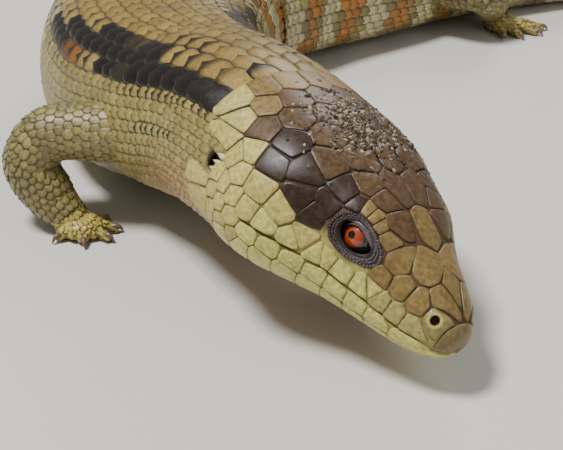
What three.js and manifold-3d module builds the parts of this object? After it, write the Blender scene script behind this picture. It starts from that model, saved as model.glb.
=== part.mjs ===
// A life-size blue-tongued skink, standing still with its trunk bent in an open arc and its head turned back
// and lowered. Millimetres, +Z up, floor at z = 0, origin on the floor under the middle of the animal.
// The body is one skin line lofted along a spine and parted with thin cuts; the legs grow out of it.
import * as THREE from "three";
import { mergeVertices } from "three/addons/utils/BufferGeometryUtils.js";
import Module from "manifold-3d";

const wasm = await Module();
wasm.setup();

// Driving dimensions
const HEAD_LENGTH = 59; // snout tip to the plane of the ears
const NOD = 16; // length of neck over which the cross-sections turn from the head's line to the spine's
const HEAD_END = 67; // where the head's solid ends and the neck's begins
const EYE = { radius: 4.1, x: 31, y: 11.2, z: 11.6, lid: 0.9, long: 9.2, high: 6.6 };
const NOSTRIL = { x: 54.3, y: 6.1, z: 7.2, radius: 0.95 };
const EAR = { x: -3, z: 4.5, long: 2, high: 3.4, deep: 2.6 };
const MOUTH = { low: 7, corner: 12, radius: 0.42 }; // forward of the ears: where its line would be lowest, and its corner; the groove's radius
const SHIELD = { high: 0.55, suture: 0.3, bevel: 0.5, sides: 7, rounding: 9 };
const FINEST = 0.15; // detail below this is merged away
const GAP = 0.3; // clearance between neighbouring solids
const CENTRE = { x: 81, y: 365 }; // the animal's middle, in the plan that the spine is laid out in

// Head placement: the ears' plane, and how the head points, in degrees
const HEAD = { x: 2.7, y: 269.3, z: 28, yaw: -54.4, pitch: -19.3, roll: 19.7 };

// The spine behind the ears in plan, tailwards, with the height of its axis above the floor and its roll.
const SPINE = [
  { at: "nape", x: -5.5, y: 281, z: 31.5, roll: 16 },
  { at: "neck", x: -12, y: 292, z: 32.5, roll: 10 },
  { at: "shoulder", x: -22, y: 309, z: 30.5, roll: 4 },
  { at: "chest", x: -33, y: 335, z: 27, roll: 0 },
  { at: "ribs", x: -37, y: 367, z: 25, roll: 0 },
  { at: "waist", x: -30, y: 402, z: 24.5, roll: 0 },
  { at: "loin", x: -5, y: 424, z: 24, roll: 0 },
  { at: "hip", x: 29, y: 440, z: 21.5, roll: 0 },
  { at: "vent", x: 60, y: 455, z: 17, roll: 0 },
  { at: "tail_base", x: 97, y: 467, z: 13, roll: 0 },
  { at: "tail_mid", x: 135, y: 474, z: 10, roll: 0 },
  { at: "tail_thin", x: 174, y: 467, z: 7.2, roll: 0 },
  { at: "tail_end", x: 208, y: 448, z: 4.6, roll: 0 },
  { at: "tail_point", x: 226, y: 429, z: 2.6, roll: 0 },
  { at: "tail_tip", x: 233, y: 419, z: 1.5, roll: 0 },
];

// Cross-sections of the head: distance behind the snout tip, half width, height of the crown, level of the
// widest point and depth of the chin against the head's axis, and how square the upper and lower halves are.
const HEAD_SECTIONS = [
  { u: 0, w: 0.6, top: 5.4, mid: 4.9, low: 4.4, sq: 2, sqLow: 2 },
  { u: 0.8, w: 3.6, top: 8.2, mid: 4.6, low: 1.4, sq: 2.1, sqLow: 2 },
  { u: 2.6, w: 5.9, top: 10.1, mid: 4.1, low: -1, sq: 2.3, sqLow: 2.2 },
  { u: 5.5, w: 7.8, top: 11.9, mid: 3.5, low: -2.7, sq: 2.5, sqLow: 2.3 },
  { u: 10, w: 9.9, top: 13.9, mid: 3, low: -4.2, sq: 2.6, sqLow: 2.3 },
  { u: 16, w: 12.3, top: 16, mid: 2.5, low: -5.6, sq: 2.7, sqLow: 2.3 },
  { u: 22, w: 14.8, top: 18.2, mid: 2.2, low: -6.9, sq: 2.8, sqLow: 2.3 },
  { u: 28, w: 17, top: 20.2, mid: 2, low: -8.6, sq: 2.8, sqLow: 2.3 },
  { u: 35, w: 21.2, top: 22, mid: 1.5, low: -10.8, sq: 2.7, sqLow: 2.3 },
  { u: 43, w: 25.4, top: 23.4, mid: 0.8, low: -13.6, sq: 2.6, sqLow: 2.3 },
  { u: 51, w: 27, top: 24, mid: 0.3, low: -15.8, sq: 2.5, sqLow: 2.3 },
  { u: HEAD_LENGTH, w: 26, top: 24, mid: 0, low: -17.5, sq: 2.4, sqLow: 2.2 },
];

// Cross-sections behind the head, at the spine's named places, in the same terms.
const BODY_SECTIONS = {
  nape: { w: 25, top: 23.2, mid: 0, low: -20, sq: 2.3, sqLow: 2.2 },
  neck: { w: 24.4, top: 22, mid: -1, low: -22, sq: 2.2, sqLow: 2.2 },
  shoulder: { w: 27, top: 21, mid: -3, low: -23, sq: 2.2, sqLow: 2.3 },
  chest: { w: 31.5, top: 22.5, mid: -5, low: -26.2, sq: 2.2, sqLow: 2.4 },
  ribs: { w: 35, top: 24, mid: -5, low: -26, sq: 2.2, sqLow: 2.5 },
  waist: { w: 35.5, top: 24, mid: -5, low: -25.6, sq: 2.2, sqLow: 2.5 },
  loin: { w: 33, top: 23.2, mid: -4, low: -25, sq: 2.2, sqLow: 2.4 },
  hip: { w: 26.5, top: 20, mid: -3, low: -22.4, sq: 2.2, sqLow: 2.3 },
  vent: { w: 19.5, top: 16, mid: -1.5, low: -17.6, sq: 2.1, sqLow: 2.2 },
  tail_base: { w: 15, top: 12.8, mid: 0, low: -13.4, sq: 2, sqLow: 2.1 },
  tail_mid: { w: 11.8, top: 10.2, mid: 0, low: -10.3, sq: 2, sqLow: 2.1 },
  tail_thin: { w: 8.4, top: 7.4, mid: 0, low: -7.5, sq: 2, sqLow: 2 },
  tail_end: { w: 5.2, top: 4.7, mid: 0, low: -4.9, sq: 2, sqLow: 2 },
  tail_point: { w: 3, top: 2.8, mid: 0, low: -3.2, sq: 2, sqLow: 2 },
  tail_tip: { w: 0.7, top: 0.8, mid: 0, low: -1.4, sq: 2, sqLow: 2 },
};

// Swellings and hollows of the head, on both sides: x forward of the ears, y aside, z up, reach and rise.
const RELIEF = [
  { name: "brow", x: 32, y: 14, z: 17.5, reach: 6.5, rise: 1.1 },
  { name: "loreal_hollow", x: 43, y: 10.5, z: 9, reach: 5, rise: -0.8 },
  { name: "behind_brow", x: 22, y: 18.5, z: 13, reach: 5, rise: -0.9 },
  { name: "jowl", x: 9, y: 24, z: 2, reach: 8, rise: 1.2 },
  { name: "upper_lip", x: 30, y: 18, z: 4.5, reach: 5, rise: 0.5 },
  { name: "snout_lip", x: 46, y: 12, z: 4.5, reach: 5, rise: 0.4 },
  { name: "nasal", x: 53.5, y: 6, z: 8, reach: 3, rise: 0.35 },
];

// The head's shields, each about its own middle: x forward of the ears, q round the skin from the crown's
// midline. Those off the midline come in pairs.
const SHIELDS = [
  { name: "frontonasal", x: 49.4, q: 0 },
  { name: "frontal", x: 33.2, q: 0 },
  { name: "interparietal", x: 17.6, q: 0 },
  { name: "nasal", x: 53.3, q: 5.6 },
  { name: "prefrontal", x: 44.6, q: 4.6 },
  { name: "loreal_front", x: 48.8, q: 9.6 },
  { name: "loreal_back", x: 43.8, q: 12.6 },
  { name: "preocular", x: 39.6, q: 17.4 },
  { name: "supraocular_1", x: 38.9, q: 9.4 },
  { name: "supraocular_2", x: 34.6, q: 10.6 },
  { name: "supraocular_3", x: 29.8, q: 10.8 },
  { name: "supraocular_4", x: 25.2, q: 10.2 },
  { name: "frontoparietal", x: 23, q: 3.6 },
  { name: "parietal", x: 16, q: 8.6 },
  { name: "nuchal", x: 8.6, q: 3.6 },
  { name: "occipital", x: 7.5, q: 11.5 },
  { name: "temporal_1", x: 19, q: 17 },
  { name: "temporal_2", x: 18.5, q: 23.5 },
  { name: "temporal_3", x: 10.5, q: 19 },
  { name: "temporal_4", x: 10, q: 26 },
];
const UPPER_LABIALS = [51.5, 46.8, 41.6, 36, 30.2, 24.4, 18.6, 13];
const LABIAL_DEPTH = 4.8;

// The legs: points of the bone's line from inside the body to the sole in the spine's plan, with the limb's
// radius, where each leg parts at the elbow and wrist, and the foot: heading and toes, each with its angle
// from the heading and its reach from the middle of the sole.
const LEGS = [
  {
    name: "fore_right",
    parts: ["upper_arm_right", "forearm_right", "hand_right"],
    line: [
      { x: -30, y: 299, z: 27, r: 8.6 },
      { x: -46, y: 299, z: 26.5, r: 7.8 },
      { x: -59.5, y: 300, z: 25, r: 7.6 },
      { x: -64.5, y: 298.5, z: 18, r: 7.6 },
      { x: -60.5, y: 296.5, z: 10, r: 7 },
      { x: -55.5, y: 294, z: 5, r: 5.2 },
    ],
    heading: -23,
    toes: [
      { turn: -112, reach: 8.6 },
      { turn: -50, reach: 9.2 },
      { turn: -6, reach: 11.2 },
      { turn: 24, reach: 11.6 },
      { turn: 62, reach: 9.6 },
    ],
  },
  {
    name: "fore_left",
    parts: ["upper_arm_left", "forearm_left", "hand_left"],
    line: [
      { x: -10, y: 312, z: 26, r: 8.6 },
      { x: 6, y: 321, z: 24, r: 7.4 },
      { x: 15, y: 329, z: 17.5, r: 6.8 },
      { x: 20, y: 329, z: 12, r: 6.2 },
      { x: 25, y: 323, z: 8, r: 5.4 },
      { x: 27, y: 318, z: 4.6, r: 4.6 },
    ],
    heading: -45,
    toes: [
      { turn: -66, reach: 8.6 },
      { turn: -30, reach: 10.4 },
      { turn: 0, reach: 11.4 },
      { turn: 30, reach: 11 },
      { turn: 64, reach: 9.2 },
    ],
  },
  {
    name: "hind_left",
    parts: ["thigh_left", "shank_left", "foot_left"],
    line: [
      { x: 42, y: 446, z: 17, r: 9.5 },
      { x: 54, y: 433, z: 19, r: 8.6 },
      { x: 66, y: 424, z: 19, r: 7.4 },
      { x: 72, y: 428, z: 14, r: 6.4 },
      { x: 73.5, y: 435, z: 9, r: 5.6 },
      { x: 76, y: 438.5, z: 4.8, r: 4.8 },
    ],
    heading: -45,
    toes: [
      { turn: -50, reach: 10.5 },
      { turn: -14, reach: 12.5 },
      { turn: 18, reach: 15.5 },
      { turn: 40, reach: 16.5 },
      { turn: 64, reach: 11 },
    ],
  },
  {
    name: "hind_right",
    parts: ["thigh_right", "shank_right", "foot_right"],
    line: [
      { x: 36, y: 452, z: 17, r: 9.5 },
      { x: 27, y: 467, z: 19, r: 8.6 },
      { x: 18, y: 479, z: 19, r: 7.4 },
      { x: 21, y: 485, z: 13.5, r: 6.4 },
      { x: 26, y: 487.5, z: 8.5, r: 5.6 },
      { x: 26.5, y: 491, z: 4.8, r: 4.8 },
    ],
    heading: 130,
    toes: [
      { turn: 66, reach: 9.5 },
      { turn: 34, reach: 12 },
      { turn: 4, reach: 14.5 },
      { turn: -22, reach: 15.5 },
      { turn: -60, reach: 11 },
    ],
  },
];
const SOLE = { long: 6.6, wide: 5.6, z: 2.4, high: 3.4 };
const TOE = { root: 2.1, tip: 1.35, knuckle: 3, claw: 3.4 };

const radians = THREE.MathUtils.degToRad;
const UP = new THREE.Vector3(0, 0, 1);

// Cubic curve through keys [{ u, ... }], read at u for one named value.
function smooth(keys, name, u) {
  const last = keys.length - 1;
  let i = 0;
  while (i < last - 1 && u > keys[i + 1].u) i++;
  const slope = (k) => {
    const a = keys[Math.max(k - 1, 0)];
    const b = keys[Math.min(k + 1, last)];
    return (b[name] - a[name]) / (b.u - a.u);
  };
  const span = keys[i + 1].u - keys[i].u;
  const t = Math.min(Math.max((u - keys[i].u) / span, 0), 1);
  const t2 = t * t;
  const t3 = t2 * t;
  return (
    (2 * t3 - 3 * t2 + 1) * keys[i][name] +
    (t3 - 2 * t2 + t) * span * slope(i) +
    (3 * t2 - 2 * t3) * keys[i + 1][name] +
    (t3 - t2) * span * slope(i + 1)
  );
}

// The head's own axes: forward along the snout, left and up.
const yaw = radians(HEAD.yaw);
const pitch = radians(HEAD.pitch);
const headForward = new THREE.Vector3(
  Math.cos(yaw) * Math.cos(pitch),
  Math.sin(yaw) * Math.cos(pitch),
  Math.sin(pitch),
);
const earCentre = new THREE.Vector3(HEAD.x - CENTRE.x, HEAD.y - CENTRE.y, HEAD.z);

// Spine keys by distance behind the snout tip: straight through the head, then from place to place.
const headKeys = [0, 0.35, 0.7, 1].map((share) => {
  const point = earCentre.clone().addScaledVector(headForward, HEAD_LENGTH * (1 - share));
  return { u: HEAD_LENGTH * share, x: point.x, y: point.y, z: point.z, roll: HEAD.roll };
});
const spineKeys = [...headKeys];
const sectionKeys = [...HEAD_SECTIONS];
const placeAt = { ear: HEAD_LENGTH };
for (const place of SPINE) {
  const before = spineKeys.at(-1);
  const x = place.x - CENTRE.x;
  const y = place.y - CENTRE.y;
  const u = before.u + Math.hypot(x - before.x, y - before.y, place.z - before.z);
  spineKeys.push({ u, x, y, z: place.z, roll: place.roll });
  sectionKeys.push({ u, ...BODY_SECTIONS[place.at] });
  placeAt[place.at] = u;
}

// Where the spine is at u behind the snout, with its own forward, left and up.
function spineAt(u) {
  const read = (v) => new THREE.Vector3(...["x", "y", "z"].map((n) => smooth(spineKeys, n, v)));
  const step = 0.5;
  const forward = read(u - step)
    .sub(read(u + step))
    .normalize();
  const nod = THREE.MathUtils.smoothstep(u, HEAD_LENGTH, HEAD_LENGTH + NOD);
  forward.lerpVectors(headForward, forward.clone(), nod).normalize();
  const flatLeft = UP.clone().cross(forward).normalize();
  const flatUp = forward.clone().cross(flatLeft);
  const roll = radians(smooth(spineKeys, "roll", u));
  const left = flatLeft.clone().multiplyScalar(Math.cos(roll));
  left.addScaledVector(flatUp, -Math.sin(roll));
  const up = flatLeft.multiplyScalar(Math.sin(roll)).addScaledVector(flatUp, Math.cos(roll));
  return { centre: read(u), forward, left, up };
}

// A point of the plain skin: u behind the snout, angle from the left side over the back, grown by extra.
function skinPoint(u, angle, extra = 0) {
  const s = Object.fromEntries(
    ["w", "top", "mid", "low", "sq", "sqLow"].map((n) => [n, smooth(sectionKeys, n, u)]),
  );
  const c = Math.cos(angle);
  const d = Math.sin(angle);
  const power = 2 / (d >= 0 ? s.sq : s.sqLow);
  const across = (s.w + extra) * Math.sign(c) * Math.abs(c) ** power;
  const reach = d >= 0 ? s.top - s.mid + extra : s.mid - s.low + extra;
  const over = s.mid + reach * Math.sign(d) * Math.abs(d) ** power;
  const frame = spineAt(u);
  const rise = relief(HEAD_LENGTH - u, Math.abs(across), over);
  const outward = new THREE.Vector2(across, over - s.mid).normalize().multiplyScalar(rise);
  const point = frame.centre
    .addScaledVector(frame.left, across + outward.x)
    .addScaledVector(frame.up, over + outward.y);
  return { point, across, over, frame };
}

// How far the head's swellings lift the skin at a place in the head's own terms.
function relief(x, y, z) {
  return RELIEF.reduce((sum, bump) => {
    const away = (x - bump.x) ** 2 + (y - bump.y) ** 2 + (z - bump.z) ** 2;
    return sum + bump.rise * Math.exp(-away / bump.reach ** 2);
  }, 0);
}

// A point given in the head's own terms.
function inHead(x, y, z) {
  const frame = spineAt(0);
  return earCentre
    .clone()
    .addScaledVector(frame.forward, x)
    .addScaledVector(frame.left, y)
    .addScaledVector(frame.up, z);
}

// Distances round the skin from the crown's midline down one side, for every small step of angle.
function girths(u) {
  const steps = 90;
  const table = [{ angle: Math.PI / 2, q: 0, over: skinPoint(u, Math.PI / 2).over }];
  let before = skinPoint(u, Math.PI / 2).point;
  for (let k = 1; k <= steps; k++) {
    const angle = Math.PI / 2 - (Math.PI * k) / steps;
    const { point, over } = skinPoint(u, angle);
    table.push({ angle, q: table.at(-1).q + point.distanceTo(before), over });
    before = point;
  }
  return table;
}

// The height of the lips' meeting line, forward of the ears.
function lipLevel(x) {
  return THREE.MathUtils.lerp(0.4, 2.3, THREE.MathUtils.smoothstep(x, MOUTH.low, 34));
}

// The distance round the skin from the crown's midline to the mouth.
function mouthGirth(x) {
  const table = girths(HEAD_LENGTH - x);
  return table.find((row) => row.over <= lipLevel(x)).q;
}

// The point of the head's skin at x forward of the ears and q round from the midline, lifted by some height.
function onHead(x, q, lift) {
  const table = girths(HEAD_LENGTH - x);
  const k = Math.max(
    table.findIndex((row) => row.q >= Math.abs(q)),
    1,
  );
  const [a, b] = [table[k - 1], table[k]];
  const angle = a.angle + ((b.angle - a.angle) * (Math.abs(q) - a.q)) / (b.q - a.q);
  return skinPoint(HEAD_LENGTH - x, q < 0 ? Math.PI - angle : angle, lift).point;
}

// A closed solid from rings of points and the two points that close its ends.
function solidFromRings(rings, first, last) {
  const sides = rings[0].length;
  const points = [first, ...rings.flat(), last];
  const faces = [];
  for (let k = 0; k < sides; k++) {
    const next = (k + 1) % sides;
    faces.push(0, 1 + next, 1 + k);
    for (let r = 0; r + 1 < rings.length; r++) {
      const a = 1 + r * sides + k;
      const b = 1 + r * sides + next;
      faces.push(a, b, b + sides, a, b + sides, a + sides);
    }
    const end = 1 + (rings.length - 1) * sides;
    faces.push(end + k, end + next, points.length - 1);
  }
  const geometry = new THREE.BufferGeometry().setFromPoints(points).setIndex(faces);
  return solidOf(geometry);
}

// A three.js geometry as a solid that faces outwards.
function solidOf(geometry) {
  const bare = geometry.clone();
  bare.deleteAttribute("normal");
  bare.deleteAttribute("uv");
  const merged = mergeVertices(bare, 1e-4);
  const vertProperties = new Float32Array(merged.attributes.position.array);
  const triVerts = new Uint32Array(merged.index.array);
  const build = () => new wasm.Manifold(new wasm.Mesh({ numProp: 3, vertProperties, triVerts }));
  let solid = build();
  if (solid.volume() < 0) {
    for (let i = 0; i < triVerts.length; i += 3)
      [triVerts[i + 1], triVerts[i + 2]] = [triVerts[i + 2], triVerts[i + 1]];
    solid = build();
  }
  return solid;
}

// The largest closed surface of a solid, which drops scraps and sealed hollows.
function largest(solid) {
  return solid.decompose().sort((a, b) => b.volume() - a.volume())[0];
}

const evenly = (from, to, count) =>
  Array.from({ length: count + 1 }, (_, i) => from + ((to - from) * i) / count);

const mean = (points) =>
  points.reduce((sum, p) => sum.add(p), new THREE.Vector3()).divideScalar(points.length);

// A length of the body between two distances behind the snout, flat where it lies on the floor.
function bodyLength(from, to, rings, sides, extra = 0, raise = null) {
  const ring = (u) =>
    Array.from({ length: sides }, (_, k) => {
      const angle = (2 * Math.PI * k) / sides;
      const { point, across, over, frame } = skinPoint(u, angle, extra);
      if (raise) raise(point, { u, across, over, frame });
      point.z = Math.max(point.z, 0);
      return point;
    });
  const made = evenly(from, to, rings).map(ring);
  return solidFromRings(made, mean(made[0]), mean(made.at(-1)));
}

// Materials, with the animal's own colours
const finishes = {
  skin: new THREE.MeshStandardMaterial({ color: 0xa89a66, roughness: 0.5 }),
  crown: new THREE.MeshStandardMaterial({ color: 0x6f6048, roughness: 0.45 }),
  leg: new THREE.MeshStandardMaterial({ color: 0x9c945c, roughness: 0.55 }),
  eye: new THREE.MeshStandardMaterial({ color: 0xb04a1c, roughness: 0.08 }),
};

const skink = new THREE.Group();

function addNode(name, solid, material) {
  const mesh = largest(solid).getMesh();
  const geometry = new THREE.BufferGeometry();
  geometry.setAttribute("position", new THREE.BufferAttribute(mesh.vertProperties, 3));
  geometry.setIndex(new THREE.BufferAttribute(mesh.triVerts, 1));
  geometry.computeVertexNormals();
  const node = new THREE.Mesh(geometry, material);
  node.name = name;
  skink.add(node);
}

// A tube along keys of x, y, z and r, from one share of its length to another, never below the floor.
function tube(keys, from, to, rings, sides, across) {
  const line = [{ ...keys[0], u: 0 }];
  for (const key of keys.slice(1)) {
    const before = line.at(-1);
    const step = Math.hypot(key.x - before.x, key.y - before.y, key.z - before.z);
    line.push({ ...key, u: before.u + step });
  }
  const total = line.at(-1).u;
  const read = (u) => new THREE.Vector3(...["x", "y", "z"].map((n) => smooth(line, n, u)));
  const made = evenly(from * total, to * total, rings).map((u) => {
    const run = read(u + 0.2).sub(read(u - 0.2)).normalize();
    const a = across.clone().cross(run).normalize();
    const b = run.clone().cross(a);
    const r = smooth(line, "r", u);
    return Array.from({ length: sides }, (_, k) => {
      const angle = (2 * Math.PI * k) / sides;
      const point = read(u).addScaledVector(a, r * Math.cos(angle));
      point.addScaledVector(b, r * Math.sin(angle));
      point.z = Math.max(point.z, 0);
      return point;
    });
  });
  return { solid: solidFromRings(made, mean(made[0]), mean(made.at(-1))), total };
}

// An ellipsoid of the head, by its middle, its directions and its three radii.
function ellipsoid(centre, along, up, radii, fineness = 16) {
  const geometry = new THREE.SphereGeometry(1, fineness, Math.round(fineness * 0.7));
  const x = along.clone().normalize();
  const y = up.clone().cross(x).normalize();
  const z = x.clone().cross(y);
  const turn = new THREE.Matrix4().makeBasis(x, y, z).scale(new THREE.Vector3(...radii));
  return solidOf(geometry.applyMatrix4(turn).translate(centre.x, centre.y, centre.z));
}

// A shield's plate: an outline bounded halfway to its neighbours, bevelled up to a flat top.
function shieldPlate(shield, all) {
  const mouth = mouthGirth(shield.x) - 0.3;
  const walls = all
    .filter((other) => other !== shield)
    .map((other) => {
      const dx = other.x - shield.x;
      const dq = other.q - shield.q;
      return { angle: Math.atan2(dq, dx), far: Math.hypot(dx, dq) / 2 - SHIELD.suture / 2 };
    })
    .filter((wall) => wall.far < 9);
  walls.push({ angle: 0, far: 56.6 - shield.x }, { angle: Math.PI, far: shield.x - 1 });
  walls.push({ angle: (Math.sign(shield.q) * Math.PI) / 2, far: mouth - Math.abs(shield.q) });
  const outline = (inset) =>
    Array.from({ length: SHIELD.sides }, (_, k) => {
      const turn = (2 * Math.PI * k) / SHIELD.sides;
      const press = walls.reduce((sum, wall) => {
        const facing = Math.max(Math.cos(turn - wall.angle), 0);
        return sum + (facing / Math.max(wall.far - inset, 0.2)) ** SHIELD.rounding;
      }, 0);
      const reach = press ** (-1 / SHIELD.rounding);
      return [shield.x + reach * Math.cos(turn), shield.q + reach * Math.sin(turn)];
    });
  const ring = (inset, lift) => outline(inset).map(([x, q]) => onHead(x, q, lift));
  const rings = [ring(0, -0.35), ring(SHIELD.bevel, SHIELD.high)];
  const middle = (lift) => onHead(shield.x, shield.q, lift);
  return solidFromRings(rings, middle(-1), middle(SHIELD.high + 0.15));
}

const both = (one) => (one.q === 0 ? [one] : [one, { ...one, q: -one.q }]);
const headAxes = spineAt(0);

// The lids, the socket and the opening between the lids, on the left (1) or right (-1).
function eyeShapes(side) {
  const centre = inHead(EYE.x, side * EYE.y, EYE.z);
  const gaze = headAxes.left.clone().multiplyScalar(side * 0.94);
  gaze.addScaledVector(headAxes.forward, 0.24).addScaledVector(headAxes.up, 0.22).normalize();
  const along = headAxes.forward.clone().addScaledVector(headAxes.up, -0.12);
  along.addScaledVector(gaze, -along.dot(gaze)).normalize();
  const across = gaze.clone().cross(along).normalize();
  const ball = (r, fineness) => ellipsoid(centre, gaze, headAxes.up, [r, r, r], fineness);
  const bend = (EYE.long ** 2 / EYE.high + EYE.high) / 4;
  const drum = (way) => {
    const round = new THREE.CylinderGeometry(bend, bend, 9, 24);
    const basis = new THREE.Matrix4().makeBasis(across, gaze, across.clone().cross(gaze));
    const shift = across.clone().multiplyScalar(way * (bend - EYE.high / 2));
    const at = centre.clone().addScaledVector(gaze, 6).add(shift);
    return solidOf(round.applyMatrix4(basis).translate(at.x, at.y, at.z));
  };
  return {
    eyeball: ball(EYE.radius, 16),
    socket: ball(EYE.radius + GAP, 14),
    lids: ball(EYE.radius + GAP + EYE.lid, 14),
    opening: drum(1).intersect(drum(-1)),
  };
}

// The groove between the lips, from one corner of the mouth round the snout to the other.
function mouthGroove() {
  const half = [];
  for (let x = MOUTH.corner; x < HEAD_LENGTH - 1; x += x < 50 ? 4.8 : 1.8) {
    const row = girths(HEAD_LENGTH - x);
    const angle = row.find((place) => place.over <= lipLevel(x)).angle;
    half.push({ u: HEAD_LENGTH - x, angle });
  }
  const side = (mirror) =>
    half.map(({ u, angle }) => skinPoint(u, mirror ? Math.PI - angle : angle, 0.1).point);
  const tip = inHead(HEAD_LENGTH - 0.1, 0, lipLevel(HEAD_LENGTH));
  const path = [...side(false), tip, ...side(true).reverse()];
  const keys = path.map((p) => ({ x: p.x, y: p.y, z: p.z, r: MOUTH.radius }));
  return tube(keys, 0, 1, path.length, 5, headAxes.up).solid;
}

// Head, with its lids, shields, lips, nostrils and ear cups
function makeHead() {
  let solid = bodyLength(0, HEAD_END - GAP / 2, 25, 30);
  const cap = bodyLength(0, 2.5, 3, 18, SHIELD.high);
  const shields = SHIELDS.flatMap(both);
  for (const x of UPPER_LABIALS)
    shields.push(...both({ x, q: mouthGirth(x) - LABIAL_DEPTH / 2 - 0.4 }));
  const eyeSeed = both({ x: 31.6, q: 20.5, hollow: true });
  const all = [...shields, ...eyeSeed];
  const plates = shields.map((shield) => shieldPlate(shield, all));
  const eyes = [1, -1].map(eyeShapes);
  solid = wasm.Manifold.union([solid, cap, ...plates, ...eyes.map((eye) => eye.lids)]);
  const cuts = [mouthGroove()];
  [1, -1].forEach((side, k) => {
    cuts.push(eyes[k].socket, eyes[k].opening);
    const nostril = inHead(NOSTRIL.x, side * NOSTRIL.y, NOSTRIL.z);
    const inward = headAxes.left.clone().multiplyScalar(-side).addScaledVector(headAxes.forward, -0.6);
    const r = NOSTRIL.radius;
    cuts.push(ellipsoid(nostril, inward, headAxes.up, [2.2, r, r * 1.15], 10));
    const ear = onHead(EAR.x, side * girthAtLevel(EAR.x, EAR.z), 0);
    cuts.push(ellipsoid(ear, headAxes.forward, headAxes.up, [EAR.long, EAR.deep, EAR.high], 10));
  });
  solid = solid.subtract(wasm.Manifold.union(cuts));
  const lobules = [1, -1].flatMap((side) =>
    [-1.7, 0.2, 2].map((rise) => {
      const q = girthAtLevel(EAR.x + 1.9, EAR.z + rise);
      return ellipsoid(onHead(EAR.x + 1.5, side * q, -0.5), headAxes.forward, headAxes.up, [1.5, 1, 0.95], 6);
    }),
  );
  return { solid: wasm.Manifold.union([solid, ...lobules]).simplify(FINEST), eyes };
}

// The distance round the skin from the crown's midline down to a level.
function girthAtLevel(x, level) {
  return girths(HEAD_LENGTH - x).find((row) => row.over <= level).q;
}

const head = makeHead();
addNode("head", head.solid, finishes.crown);
addNode("eye_left", head.eyes[0].eyeball, finishes.eye);
addNode("eye_right", head.eyes[1].eyeball, finishes.eye);

// Neck, trunk and tail, each cut square across the spine
const LENGTHS = [
  { name: "neck", from: HEAD_END, to: 88, rings: 5, sides: 36 },
  { name: "chest", from: 88, to: 140, rings: 8, sides: 28 },
  { name: "belly", from: 140, to: 212, rings: 10, sides: 28 },
  { name: "pelvis", from: 212, to: "vent", rings: 12, sides: 26 },
  { name: "tail_base", from: "vent", to: "tail_mid", rings: 9, sides: 20 },
  { name: "tail_middle", from: "tail_mid", to: "tail_end", rings: 9, sides: 16 },
  { name: "tail_tip", from: "tail_end", to: "tail_tip", rings: 7, sides: 12 },
];
const measure = (place) => (typeof place === "number" ? place : placeAt[place]);
for (const { name, from, to, rings, sides } of LENGTHS) {
  const solid = bodyLength(measure(from) + GAP / 2, measure(to) - GAP / 2, rings, sides);
  addNode(name, solid, finishes.skin);
}

// Legs, cut clear of the body they grow from
const trunkRoom = bodyLength(HEAD_END, placeAt.tail_base, 46, 28, GAP);
for (const leg of LEGS) {
  const line = leg.line.map((p) => ({ ...p, x: p.x - CENTRE.x, y: p.y - CENTRE.y }));
  const across = new THREE.Vector3(line[1].y - line[0].y, line[0].x - line[1].x, 0).normalize();
  const share = GAP / 2 / 55;
  const upper = tube(line, 0, 0.44 - share, 6, 14, across).solid;
  const lower = tube(line, 0.44 + share, 0.86 - share, 6, 14, across).solid;
  const ankle = tube(line, 0.86 + share, 1, 2, 14, across).solid;
  addNode(leg.parts[0], upper.subtract(trunkRoom), finishes.leg);
  addNode(leg.parts[1], lower.subtract(trunkRoom), finishes.leg);
  addNode(leg.parts[2], makeFoot(leg, line.at(-1), ankle), finishes.leg);
}

// A hand or foot: the sole's pad, five toes and their claws.
function makeFoot(leg, wrist, ankle) {
  const heading = radians(leg.heading);
  const ahead = new THREE.Vector3(Math.cos(heading), Math.sin(heading), 0);
  const middle = new THREE.Vector3(wrist.x, wrist.y, SOLE.z).addScaledVector(ahead, SOLE.long * 0.45);
  const pad = ellipsoid(middle, ahead, UP, [SOLE.long, SOLE.wide, SOLE.high], 12);
  const floor = new THREE.BoxGeometry(60, 60, 20).translate(middle.x, middle.y, -10);
  const toes = leg.toes.flatMap(({ turn, reach }) => {
    const way = heading + radians(turn);
    const out = (far, z, r) => ({
      x: middle.x + far * Math.cos(way),
      y: middle.y + far * Math.sin(way),
      z,
      r,
    });
    const tip = reach - TOE.claw;
    const toe = [
      out(0, 2.6, TOE.root),
      out(tip * 0.45, TOE.knuckle, TOE.root * 0.92),
      out(tip * 0.8, 1.9, TOE.tip * 1.1),
      out(tip, 1.3, TOE.tip),
    ];
    const claw = [
      out(tip - 0.8, 1.7, 0.95),
      out(tip + TOE.claw * 0.45, 1.9, 0.75),
      out(reach, 0.35, 0.14),
    ];
    const level = new THREE.Vector3(-Math.sin(way), Math.cos(way), 0);
    return [tube(toe, 0, 1, 4, 6, level).solid, tube(claw, 0, 1, 2, 5, level).solid];
  });
  return wasm.Manifold.union([ankle, pad.subtract(solidOf(floor)), ...toes]).simplify(FINEST / 3);
}

export default skink;
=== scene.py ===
"""A still, life-size blue-tongued skink for a museum's shelf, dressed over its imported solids.

Sizes are in millimetres on the animal and become metres only where a mesh is made.
"""

from __future__ import annotations

import logging
import math
from dataclasses import dataclass, field
from enum import Enum

import bmesh
import bpy
import numpy as np
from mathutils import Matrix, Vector
from mathutils.bvhtree import BVHTree
from mathutils.kdtree import KDTree
from numpy.typing import NDArray

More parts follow.
